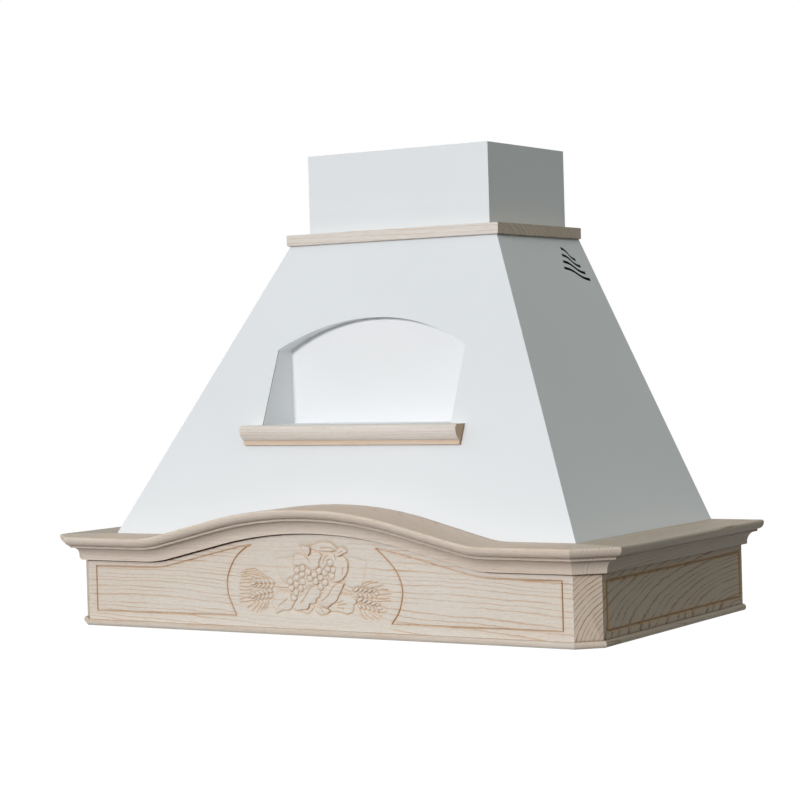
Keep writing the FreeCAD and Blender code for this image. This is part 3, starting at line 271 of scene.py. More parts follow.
def ash(name, grain, heart, ring, wander, seed, contrast, pale, lines, scorched_below=None, calm=None,
        ends=False, jag=0.36, burnt=WOOD_BURNT, shade_reach=SHADE_REACH, top_tint=None, shade_mask=False):
    """Sanded ash: growth rings about a heart line, given by its direction and a point in millimetres.

    ring and wander are the width and the wobble of the rings in millimetres, and jag is a fine wobble.
    calm is the half width of the middle with a faint figure, ends tints end grain, and burnt is the
    colour of scorched wood. top_tint tints faces that look up a little darker and browner. Every board
    gets painted shade in inner corners and joints, from ambient occlusion that reaches shade_reach
    millimetres; shade_mask keeps that painted shade to where the mesh has a painted_shade value.
    """
    shader = Shader(name, WOOD_ROUGHNESS)
    grain = Vector(grain).normalized()
    along = shader.add("VectorRotate", rotation_type="EULER_XYZ", invert=True)
    shader.feed(along.inputs["Vector"], shader.place)
    along.inputs["Rotation"].default_value = grain.to_track_quat("X", "Z").to_euler()
    board = along.outputs[0]

    def figure(lengthwise, across):
        shift = (seed, seed * 1.7, seed * 0.6)
        return shader.stretched(board, (lengthwise, across, across), shift)

    offset = shader.vector("SUBTRACT", shader.place, Vector(heart) * MM)[0]
    cross = shader.vector("CROSS_PRODUCT", offset, grain)[0]
    radius = shader.vector("LENGTH", cross)["Value"]
    for lengthwise, across, swing in RING_DRIFTS + ((*FINE_DRIFT, jag),):
        drift = shader.noise(figure(lengthwise, across), 1.0, 2.0)
        radius = shader.math("ADD", radius, shader.math("MULTIPLY", drift, wander * swing * MM))
    uneven = shader.add("TexNoise", noise_dimensions="1D")
    shader.feed(uneven.inputs["W"], shader.math("ADD", radius, seed))
    uneven.inputs["Scale"].default_value = UNEVEN_RINGS / ring
    uneven.inputs["Detail"].default_value = 0.0
    phase = shader.math("DIVIDE", radius, ring * MM)
    phase = shader.math("ADD", phase, shader.math("MULTIPLY", uneven.outputs["Fac"], UNEVEN_SHARE))
    rings = shader.math("FRACT", phase)
    line = shader.ramp(rings, [(place, (dark, dark, dark, 1.0)) for place, dark in RING_PROFILE])
    fibre = shader.noise(figure(*FIBRES), 1.0, 3.0, 0.6)
    pore = shader.noise(figure(*PORES), 1.0, 1.0)
    patch = shader.noise(figure(*PATCHES), 1.0, 2.0)
    cloud = shader.noise(figure(*CLOUDS), 1.0, 1.0)
    faint, bold = PATCH_STRENGTHS
    strength = shader.span(patch, *PATCH_RANGE, faint * contrast, bold * contrast)
    place = shader.parts(shader.place)
    if calm is not None:
        from_middle = shader.math("ABSOLUTE", place["X"])
        shade_fade = shader.span(from_middle, calm * MM, (calm + CALM_EDGE) * MM, CALM_SHARE)
        strength = shader.math("MULTIPLY", strength, shade_fade)
    clamped = shader.math("MINIMUM", shader.math("MULTIPLY", line, strength), 1.0)
    base = shader.mixed(clamped, pale, lines)
    for value, share, tones in (
            (fibre, FIBRE_SHARE, FIBRE_TONES), (pore, PORE_SHARE, PORE_TONES),
            (cloud, CLOUD_SHARE, CLOUD_TONES)):
        base = shader.mixed(share, base, shader.ramp(value, tones), "MULTIPLY")
    burn = shader.add("Attribute", attribute_name="burn")
    base = shader.mixed(burn.outputs["Fac"], base, burnt)
    if ends:
        facing = shader.vector("DOT_PRODUCT", shader.normal(), grain)["Value"]
        across_grain = shader.span(shader.math("ABSOLUTE", facing), *END_FACING)
        base = shader.mixed(across_grain, base, END_GRAIN, "MULTIPLY")
    if top_tint:
        level = shader.span(shader.parts(shader.normal())["Z"], *TOP_FACING)
        base = shader.mixed(level, base, top_tint, "MULTIPLY")
    if scorched_below is not None:
        low = shader.math("LESS_THAN", place["Z"], scorched_below * MM)
        base = shader.mixed(shader.math("MULTIPLY", low, SCORCH_SHARE), base, WOOD_BURNT)
    # Painted shade: ambient occlusion darkens the wood in inner corners, joints and recesses
    painted_shade = shader.add("AmbientOcclusion", samples=SHADE_SAMPLES)
    painted_shade.inputs["Distance"].default_value = shade_reach * MM
    shade = shader.ramp(painted_shade.outputs["AO"], SHADE_TONES)
    share = shader.add("Attribute", attribute_name="painted_shade").outputs["Fac"] if shade_mask else 1.0
    shader.colour(shader.mixed(share, base, shade, "MULTIPLY"))
    shader.rough(fibre, WOOD_ROUGHNESS - WOOD_ROUGH_SPREAD, WOOD_ROUGHNESS + WOOD_ROUGH_SPREAD)
    height = shader.math("SUBTRACT", fibre, shader.math("MULTIPLY", line, LINE_SINK))
    shader.bump(height, GRAIN_STRENGTH, GRAIN_DEPTH)
    return shader.material


# Paint, metal and plastic

# Depth of fine textures in metres, and how often textures change per metre
FINE_DEPTH = 0.0002
PAINT_CLOUDS = 4.0
PAINT_PEEL = 700.0
ZINC_CRYSTALS = 110.0
PLASTIC_CLOUDS = 30.0
LENS_RIPPLE = 500.0
LENS_CLEAR_SHARE = 0.2
GLASS_IOR = 1.46


def sprayed(name, light, dark, roughness):
    """A shader with the fine orange peel of satin enamel, and the tone of its paint."""
    shader = Shader(name, roughness)
    cloud = shader.noise(shader.place, PAINT_CLOUDS, 3.0)
    peel = shader.noise(shader.place, PAINT_PEEL, 2.0)
    shader.rough(peel, roughness - 0.05, roughness + 0.07)
    shader.bump(peel, 0.05, FINE_DEPTH)
    return shader, shader.ramp(cloud, [(0.35, dark), (0.65, light)])


def enamel(name, light, dark, roughness, shade_fade=None):
    """Sprayed enamel; shade_fade gives two heights in millimetres and the tint at the lower one: painted
    shade that darkens the paint towards the lower height.
    """
    shader, tone = sprayed(name, light, dark, roughness)
    if shade_fade:
        low, high, tint = shade_fade
        rise = shader.span(shader.parts(shader.place)["Z"], low * MM, high * MM)
        tone = shader.mixed(1.0, tone, shader.ramp(rise, [(0.0, tint), (1.0, WHITE)]), "MULTIPLY")
    shader.colour(tone)
    return shader.material


def shell_enamel(name, light, dark, roughness, primer_and_shade, middle):
    """Sprayed enamel on the outside of a shell, and dark primer on its inside, made dark as painted shade
    inside the shell.
    """
    shader, tone = sprayed(name, light, dark, roughness)
    outward = shader.vector("SUBTRACT", shader.place, Vector(middle) * MM)[0]
    facing = shader.vector("DOT_PRODUCT", outward, shader.normal())["Value"]
    inside = shader.math("LESS_THAN", facing, 0.0)
    shader.colour(shader.mixed(inside, tone, primer_and_shade))
    return shader.material


def metal(name, light, dark, roughness, stretch):
    """Bare or plated metal with a drawn surface."""
    shader = Shader(name, roughness, 1.0)
    streak = shader.noise(shader.stretched(shader.place, stretch), 1.0, 4.0, 0.6)
    shader.colour(shader.ramp(streak, [(0.3, dark), (0.7, light)]))
    shader.rough(streak, roughness - 0.08, roughness + 0.1)
    shader.bump(streak, 0.06, FINE_DEPTH)
    return shader.material


def spangle(name):
    """Zinc crystals on galvanised sheet."""
    shader = Shader(name, 0.42, 1.0)
    crystal = shader.add("TexVoronoi")
    shader.feed(crystal.inputs["Vector"], shader.place)
    crystal.inputs["Scale"].default_value = ZINC_CRYSTALS
    grey = shader.add("SeparateColor")
    shader.feed(grey.inputs[0], crystal.outputs["Color"])
    tones = [(0.0, srgb(184, 188, 191)), (1.0, srgb(211, 214, 216))]
    shader.colour(shader.ramp(grey.outputs[0], tones))
    shader.rough(grey.outputs[1], 0.34, 0.52)
    return shader.material


def plastic(name, light, dark, roughness, texture):
    """Moulded plastic with a fine spark-eroded grain."""
    shader = Shader(name, roughness)
    grain = shader.noise(shader.place, texture, 2.0)
    cloud = shader.noise(shader.place, PLASTIC_CLOUDS, 2.0)
    shader.colour(shader.ramp(cloud, [(0.35, dark), (0.65, light)]))
    shader.rough(grain, roughness - 0.06, roughness + 0.08)
    shader.bump(grain, 0.12, FINE_DEPTH)
    return shader.material


def frosted(name):
    """Frosted lens with a fine ripple."""
    shader = Shader(name, 0.35)
    ripple = shader.noise(shader.place, LENS_RIPPLE, 2.0)
    tones = [(0.3, srgb(226, 230, 230)), (0.7, srgb(246, 248, 247))]
    shader.colour(shader.ramp(ripple, tones))
    shader.bsdf.inputs["Transmission Weight"].default_value = LENS_CLEAR_SHARE
    shader.bsdf.inputs["IOR"].default_value = GLASS_IOR
    shader.bump(ripple, 0.25, 0.0004)
    return shader.material


# Dark primer inside the canopy: partly its bare primer, partly painted shade so that the vents read black
PRIMER_AND_SHADE = srgb(70, 71, 72)
WHITE_PAINT = enamel("white_enamel", srgb(236, 239, 242), srgb(233, 236, 239), 0.48)
SHELL_PAINT = shell_enamel(
    "shell_enamel", srgb(236, 239, 242), srgb(233, 236, 239), 0.48, PRIMER_AND_SHADE, (0, -170, 300))
# The niche's and the chimney's paint darken towards their feet: painted shade against light bounced up from
# the shelf and the trim
NICHE_PAINT = enamel(
    "niche_enamel", srgb(247, 248, 250), srgb(244, 246, 248), 0.48, (285, 415, srgb(245, 245, 245)))
CHIMNEY_PAINT = enamel(
    "chimney_enamel", srgb(240, 244, 247), srgb(238, 241, 244), 0.48, (548.5, 585, srgb(242, 242, 242)))
GREY_PAINT = enamel("grey_enamel", srgb(206, 208, 210), srgb(196, 199, 201), 0.42)
MOTOR_PAINT = enamel("motor_paint", srgb(78, 82, 88), srgb(64, 67, 72), 0.5)
ZINC = spangle("galvanised_steel")
STEEL = metal("bright_steel", srgb(222, 222, 224), srgb(186, 187, 190), 0.28, (900, 900, 900))
ALUMINIUM = metal("aluminium", srgb(206, 208, 210), srgb(172, 175, 178), 0.36, (12, 900, 900))
WOOL = metal("filter_layers", srgb(150, 152, 155), srgb(78, 80, 83), 0.5, (240, 420, 240))
CHROME = metal("chrome", srgb(232, 233, 235), srgb(216, 217, 220), 0.12, (60, 60, 60))
LENS = frosted("lens_glass")
WHITE_PLASTIC = plastic("white_plastic", srgb(228, 228, 225), srgb(219, 219, 216), 0.45, 2200.0)
BUTTON_PLASTIC = plastic("button_plastic", srgb(186, 187, 187), srgb(174, 175, 175), 0.3, 3000.0)
DARK_PLASTIC = plastic("dark_plastic", srgb(58, 58, 61), srgb(44, 44, 47), 0.5, 1800.0)

BY_SLOT = {
    "white_enamel": WHITE_PAINT, "grey_enamel": GREY_PAINT, "motor_paint": MOTOR_PAINT,
    "galvanised_steel": ZINC, "bright_steel": STEEL, "aluminium": ALUMINIUM, "chrome": CHROME,
    "lens_glass": LENS, "white_plastic": WHITE_PLASTIC, "button_plastic": BUTTON_PLASTIC,
    "dark_plastic": DARK_PLASTIC,
}
# Every board has its own heart line, so that no two show the same figure
FRONT_ASH = ash(
    "ash_front", (1, 0.08, 0.035), (0, -330, -90), 5.2, 5.5, 0.3, 1.3, WOOD_PALE, LINE_ORANGE,
    calm=110.0, jag=0.15, shade_mask=True)
# The cornice's wider reach paints shade into its cove under the nose
CORNICE_ASH = ash(
    "ash_cornice", (1, 0.02, 0), (0, -400, 20), 6.0, 3.0, 1.1, 0.45, WOOD_WARM, LINE_ORANGE,
    shade_reach=SHADE_REACH_CORNICE, top_tint=TOP_TINT)
BEAD_ASH = ash(
    "ash_bead", (1, 0.01, 0.01), (0, -380, -60), 5.0, 3.0, 2.3, 0.6, WOOD_BEAD, LINE_ORANGE, ends=True)
SHELF_ASH = ash(
    "ash_shelf", (1, 0.01, 0.01), (0, -280, 180), 5.0, 3.0, 3.2, 0.6, WOOD_WHITE, LINE_ORANGE,
    scorched_below=257.0, ends=True)
TRIM_ASH = ash(
    "ash_trim", (1, 0.01, 0), (0, -170, 480), 4.5, 3.0, 4.5, 0.7, WOOD_WHITE, LINE_ORANGE, ends=True)
TRIM_SIDE_ASH = ash(
    "ash_trim_side", (1, 0.05, 0.02), (0, -330, 350), 5.2, 2.0, 12.4, 1.2, WOOD_CORNER, LINE_BROWN)
CORNER_ASH_RIGHT = ash(
    "ash_corner_right", (1, -1, 0.1), (445, -398, -12), 5.6, 2.6, 5.1, 1.3, WOOD_CORNER, LINE_CORNER)
CORNER_ASH_LEFT = ash(
    "ash_corner_left", (-1, -1, 0.1), (-358, -485, -12), 5.6, 2.6, 6.1, 1.3, WOOD_CORNER, LINE_CORNER)
SIDE_ASH_RIGHT = ash(
    "ash_side_right", (0.25, 0.97, 0.02), (415, -20, 10), 6.8, 4.5, 7.7, 1.4, WOOD_SIDE_SHADED, LINE_DARK,
    jag=0.6, burnt=WOOD_CHARRED)
SIDE_ASH_LEFT = ash(
    "ash_side_left", (-0.26, 0.96, 0.03), (-415, -370, 5), 6.8, 4.5, 8.4, 1.4, WOOD_SIDE_SHADED, LINE_DARK,
    jag=0.6, burnt=WOOD_CHARRED)
SIDE_CORNICE_ASH = ash(
    "ash_side_cornice", (0.03, 1, 0.01), (330, 0, 20), 6.0, 4.0, 9.3, 0.8, WOOD_RAIL_SHADED, LINE_BROWN)
MITRE_ASH_RIGHT = ash(
    "ash_mitre_right", (1, -1, 0.1), (480, -420, 90), 3.6, 1.5, 10.2, 0.5, WOOD_WARM, LINE_BROWN)
MITRE_ASH_LEFT = ash(
    "ash_mitre_left", (-1, -1, 0.1), (-480, -420, 90), 3.6, 1.5, 11.2, 0.5, WOOD_WARM, LINE_BROWN)
WOOD = {
    "front_panel": FRONT_ASH, "cornice_front": CORNICE_ASH, "base_bead_front": BEAD_ASH,
    "niche_shelf": SHELF_ASH, "neck_trim_front": TRIM_ASH,
    "corner_board_left": CORNER_ASH_LEFT, "corner_board_right": CORNER_ASH_RIGHT,
    "side_panel_left": SIDE_ASH_LEFT, "side_panel_right": SIDE_ASH_RIGHT,
    "cornice_corner_left": MITRE_ASH_LEFT, "cornice_corner_right": MITRE_ASH_RIGHT,
    "cornice_side_left": SIDE_CORNICE_ASH, "cornice_side_right": SIDE_CORNICE_ASH,
    "base_bead_corner_left": MITRE_ASH_LEFT, "base_bead_corner_right": MITRE_ASH_RIGHT,
    "base_bead_side_left": SIDE_CORNICE_ASH, "base_bead_side_right": SIDE_CORNICE_ASH,
    "neck_trim_left": TRIM_SIDE_ASH, "neck_trim_right": TRIM_SIDE_ASH,
}


def dress(obj, material):
    obj.data.materials.clear()
    obj.data.materials.append(material)


for subpart in frame["record"]["subparts"]:
    name = subpart["node"]
    dress(nodes[name], WOOD.get(name) or BY_SLOT[subpart["material_slot"]])
dress(nodes["canopy_shell"], SHELL_PAINT)
dress(nodes["niche_box"], NICHE_PAINT)
dress(nodes["chimney_cover"], CHIMNEY_PAINT)

# Eased edges: nodes, and the width of the bevel in millimetres

EASED = [
    (("niche_shelf", "corner_board_left", "corner_board_right"), 0.8),
    (("neck_trim_front", "neck_trim_left", "neck_trim_right", "chimney_cover"), 0.4),
]
EASED_FROM = math.radians(40)
WELD_REACH = 0.00001
for names, width in EASED:
    for name in names:
        weld = nodes[name].modifiers.new("weld", "WELD")
        weld.merge_threshold = WELD_REACH
        bevel = nodes[name].modifiers.new("ease", "BEVEL")
        bevel.width = width * MM
        bevel.segments = 2
        bevel.limit_method = "ANGLE"
        bevel.angle_limit = EASED_FROM
        bevel.harden_normals = True

# Ogee of the front panel's top edge, with the sizes of the CAD model, in millimetres

OGEE_RISE = 44.0
OGEE_HALF_SPAN = 278.0
OGEE_FOOT_RADIUS = 170.0
OGEE_SLOPE_SHARE = 0.748
slope = 2 * math.atan(OGEE_SLOPE_SHARE * OGEE_RISE / OGEE_HALF_SPAN)
both_radii = (OGEE_HALF_SPAN * math.sin(slope) - OGEE_RISE * math.cos(slope)) / (1 - math.cos(slope))
crown_radius = both_radii - OGEE_FOOT_RADIUS
crown_end = crown_radius * math.sin(slope)
foot_end = OGEE_HALF_SPAN - OGEE_FOOT_RADIUS * math.sin(slope)


def ogee(x):
    """Height of the ogee above its feet."""
    x = np.abs(x)
    crown = OGEE_RISE - crown_radius + np.sqrt(crown_radius ** 2 - np.minimum(x, crown_end) ** 2)
    straight = OGEE_RISE - crown_radius * (1 - math.cos(slope)) - (x - crown_end) * math.tan(slope)
    from_end = np.clip(OGEE_HALF_SPAN - x, 0, OGEE_HALF_SPAN - foot_end)
    foot = OGEE_FOOT_RADIUS - np.sqrt(OGEE_FOOT_RADIUS ** 2 - from_end ** 2)
    return np.where(x < crown_end, crown, np.where(x < foot_end, straight, foot))


# Curves on the panel's face

# Shortest length that is divided by
TINY = 1e-12


def smooth(points, closed=False, steps=6):
    """A line that passes smoothly through given points."""
    points = np.array(points, float)
    if closed:
        padded = np.vstack([points[-1:], points, points[:2]])
    else:
        padded = np.vstack([2 * points[:1] - points[1:2], points, 2 * points[-1:] - points[-2:-1]])
    share = np.linspace(0, 1, steps, endpoint=False)[:, None]
    parts = []
    for a, b, c, e in zip(padded[:-3], padded[1:-2], padded[2:-1], padded[3:]):
        parts.append(0.5 * (2 * b + (c - a) * share + (2 * a - 5 * b + 4 * c - e) * share ** 2
                            + (3 * b - a - 3 * c + e) * share ** 3))
    parts.append(points[:1] if closed else points[-1:])
    return np.vstack(parts)


def gap_to(line, x, z):
    """Distance from each place to a line of straight pieces."""
    best = np.full(x.shape, np.inf)
    for (ax, az), (bx, bz) in zip(line[:-1], line[1:]):
        length = max((bx - ax) ** 2 + (bz - az) ** 2, TINY)
        share = np.clip(((x - ax) * (bx - ax) + (z - az) * (bz - az)) / length, 0, 1)
        best = np.minimum(best, np.hypot(x - ax - share * (bx - ax), z - az - share * (bz - az)))
    return best


def within(loop, x, z):
    """Whether each place lies inside a closed line."""
    inside = np.zeros(x.shape, bool)
    for (ax, az), (bx, bz) in zip(loop[:-1], loop[1:]):
        if az != bz:
            crosses = (az > z) != (bz > z)
            inside ^= crosses & (x < ax + (z - az) * (bx - ax) / (bz - az))
    return inside


# Forms of the carving in millimetres: a wall sinks the ground beside a form, and a tint is scorched wood
DEEPEST = 5.0
LEAF_WALL = 2.6
LEAF_REACH = 2.4
LEAF_EDGE_DROP = 0.5
LEAF_EDGE_SOFTNESS = 0.8
LEAF_TINT = 0.9
LEAF_TINT_REACH = 1.2
LEAF_RIM_TINT = 0.25
LEAF_RIM_REACH = 0.5
VEIN_DEPTH = 1.3
VEIN_HALF_WIDTH = 0.7
VEIN_TINT = 0.6
BEAD_WALL = 3.0
BEAD_REACH = 0.7
BEAD_DROP = 1.7
BEAD_TINT = 0.7
BEAD_TINT_REACH = 0.8
BEAD_RIM = 0.8
BEAD_RIM_TINT = 0.35
# The side of a form where its scorch is darkest, as painted shade on its lower right where light from the
# upper left falls away, and the share on the other side
SHADED_SIDE = (0.5, -0.866)
LIT_SIDE_SHARE = 0.3
AWN_DEPTH = 1.5
AWN_HALF_WIDTH = 0.7
AWN_TINT = 0.5
AWN_BLUSH = 0.16
AWN_BLUSH_REACH = 3.0
GROOVE_DEPTH = 3.4
GROOVE_HALF_WIDTH = 1.0
GROOVE_TINT_GAIN = 1.6
GROOVE_HALO = 1.8
GROOVE_HALO_TINT = 0.3
ARC_TINT = 1.0
UPRIGHT_TINT = 0.85
LEVEL_TINT = 0.2
# An ear's grains: spread from the stalk, half width, lean, taper to the tip, and lengths in steps
EAR_SPREAD = 3.9
EAR_GRAIN_HALF = 2.3
EAR_GRAIN_LEAN = 0.6
EAR_TAPER = 0.3
EAR_FIRST = 0.55
EAR_GRAIN_LONG = 0.68
EAR_TIP_LONG = 0.6
EAR_TIP_WIDE = 0.9


class Relief:
    """Heights and scorching of carved work over a set of places; the panel's face is height 0."""

    def __init__(self, x, z):
        self.x = x.ravel()
        self.z = z.ravel()
        self.height = np.zeros(self.x.shape)
        self.burn = np.zeros(self.x.shape)

    def around(self, line, margin):
        """Which places lie in the box round a line."""
        low = line.min(0) - margin
        high = line.max(0) + margin
        in_x = (self.x > low[0]) & (self.x < high[0])
        in_z = (self.z > low[1]) & (self.z < high[1])
        return np.nonzero(in_x & in_z)[0]

    def incise(self, line, depth, half_width, tint):
        """A rounded cut along a line."""
        at = self.around(line, AWN_BLUSH_REACH * 2)
        gap = gap_to(line, self.x[at], self.z[at])
        near = np.exp(-(gap / half_width) ** 2)
        self.height[at] -= depth * near
        blush = AWN_BLUSH * np.exp(-(gap / AWN_BLUSH_REACH) ** 2)
        self.burn[at] = np.maximum(self.burn[at], np.maximum(tint * near, blush))

    def groove(self, line, scorch):
        """A V-shaped groove, scorched inside and faintly along its edges."""
        at = self.around(line, GROOVE_HALO * 4)
        gap = gap_to(line, self.x[at], self.z[at])
        near = np.clip(1 - gap / GROOVE_HALF_WIDTH, 0, 1)
        self.height[at] = np.minimum(self.height[at], -GROOVE_DEPTH * near)
        halo = GROOVE_HALO_TINT * np.exp(-gap / GROOVE_HALO)
        tint = np.maximum(np.minimum(near * GROOVE_TINT_GAIN, 1.0) * scorch, halo)
        self.burn[at] = np.maximum(self.burn[at], tint)

    def cover(self, at, inside, gap, middle, height, tint, wall, reach, scorch, scorch_reach):
        """Lay one carved form over what is there, sink what lies round it, and scorch round it with painted
        shade, most of all below it.
        """
        beyond = at[~inside]
        away = gap[~inside]
        sunk = self.height[beyond] - wall * np.exp(-away / reach)
        self.height[beyond] = np.maximum(sunk, -DEEPEST)
        # Painted shade: the scorch round a form is heavier on its lower right side, where it falls in shade
        side_x, side_z = self.x[beyond] - middle[0], self.z[beyond] - middle[1]
        distance = np.maximum(np.hypot(side_x, side_z), TINY)
        toward_shade = 0.5 + 0.5 * (side_x * SHADED_SIDE[0] + side_z * SHADED_SIDE[1]) / distance
        share = LIT_SIDE_SHARE + (1 - LIT_SIDE_SHARE) * toward_shade
        self.burn[beyond] = np.maximum(self.burn[beyond], scorch * share * np.exp(-away / scorch_reach))
        self.height[at[inside]] = height[inside]
        self.burn[at[inside]] = tint[inside]

    def leaf(self, outline, level, veins):
        """A leaf whose face lies a little below the panel's, with veins cut into it."""
        loop = smooth(outline, True)
        at = self.around(loop, LEAF_REACH * 4)
        x, z = self.x[at], self.z[at]
        gap = gap_to(loop, x, z)
        height = -level - LEAF_EDGE_DROP * np.exp(-gap / LEAF_EDGE_SOFTNESS)
        tint = LEAF_RIM_TINT * np.exp(-gap / LEAF_RIM_REACH)
        for vein in veins:
            cut = np.exp(-(gap_to(smooth(vein), x, z) / VEIN_HALF_WIDTH) ** 2)
            height -= VEIN_DEPTH * cut
            tint = np.maximum(tint, VEIN_TINT * cut)
        self.cover(at, within(loop, x, z), gap, loop.mean(0), height, tint,
                   LEAF_WALL * (1 - level), LEAF_REACH, LEAF_TINT * (1 - level), LEAF_TINT_REACH)

    def bead(self, centre, long, wide, angle=0.0):
        """A grape, or a grain of wheat where it is longer than wide."""
        middle = np.array([centre])
        at = self.around(middle, long + BEAD_REACH * 4)
        x, z = self.x[at] - centre[0], self.z[at] - centre[1]
        along = (x * math.cos(angle) + z * math.sin(angle)) / long
        across = (z * math.cos(angle) - x * math.sin(angle)) / wide
        share = np.hypot(along, across)
        height = -BEAD_DROP * (1 - np.sqrt(np.clip(1 - share ** 2, 0, 1)))
        tint = BEAD_RIM_TINT * np.clip((share - BEAD_RIM) / (1 - BEAD_RIM), 0, 1) ** 2
        self.cover(at, share < 1, (share - 1) * wide, centre, height, tint,
                   BEAD_WALL, BEAD_REACH, BEAD_TINT, BEAD_TINT_REACH)

    def ear(self, foot, tip, pairs):
        """An ear of wheat: grains in pairs along a stalk, with one at the tip."""
        foot, tip = np.array(foot), np.array(tip)
        run = tip - foot
        length = np.hypot(*run)
        way = run / length
        side = np.array([-way[1], way[0]])
        heading = math.atan2(way[1], way[0])
        grain = length / pairs
        for i in range(pairs - 1, -1, -1):
            swell = 1.0 - EAR_TAPER * i / pairs
            middle = foot + way * grain * (i + EAR_FIRST)
            for hand in (1, -1):
                self.bead(middle + side * hand * EAR_SPREAD * swell, grain * EAR_GRAIN_LONG,
                          EAR_GRAIN_HALF * swell, heading + hand * EAR_GRAIN_LEAN)
        self.bead(tip, grain * EAR_TIP_LONG, EAR_GRAIN_HALF * EAR_TIP_WIDE, heading)


# Carving of grapes, vine leaves and wheat: places on the panel's face, X then Z, in millimetres

AWNS = [
    [(-75, 75), (-87, 82), (-98, 87), (-112, 85)], [(-77, 74), (-90, 80), (-103, 83), (-118, 82)],
    [(-80, 75), (-93, 78), (-107, 80), (-119, 78)], [(-92, 73), (-105, 77), (-119, 75)],
    [(-98, 71), (-110, 72), (-120, 71)], [(-102, 68), (-113, 68), (-122, 67)],
    [(-102, 64), (-112, 62), (-122, 63)], [(-101, 60), (-112, 57), (-122, 58)],
    [(-102, 52), (-113, 53), (-122, 52)], [(-105, 47), (-113, 47), (-122, 45)],
    [(-103, 44), (-112, 42), (-122, 41)], [(-97, 42), (-105, 37), (-110, 34)],
    [(-90, 43), (-97, 35), (-103, 30)],
    [(-84, 44), (-89, 35), (-95, 29)], [(-78, 46), (-82, 37), (-88, 30)], [(-74, 47), (-77, 38), (-82, 32)],
    [(71, 67), (78, 72), (92, 76)], [(77, 67), (87, 72), (101, 75)], [(92, 67), (102, 69), (108, 71)],
    [(99, 63), (108, 65), (116, 65)], [(101, 58), (110, 59), (120, 60)], [(98, 52), (108, 53), (118, 54)],
    [(98, 49), (110, 50), (120, 50)], [(103, 44), (110, 42), (114, 40)], [(72, 37), (77, 28), (82, 25)],
    [(78, 35), (85, 28), (92, 25)], [(87, 34), (93, 30), (101, 25)], [(92, 35), (98, 32), (105, 30)],
    [(98, 37), (105, 35), (112, 36)],
]
# Each ear of wheat: its foot, its tip and its pairs of grains
EARS = [
    ((-67, 67.5), (-101, 67.5), 5), ((-69, 55.5), (-102, 49), 5),
    ((62, 60.5), (97, 59.5), 5), ((67, 48), (101, 41), 5),
]
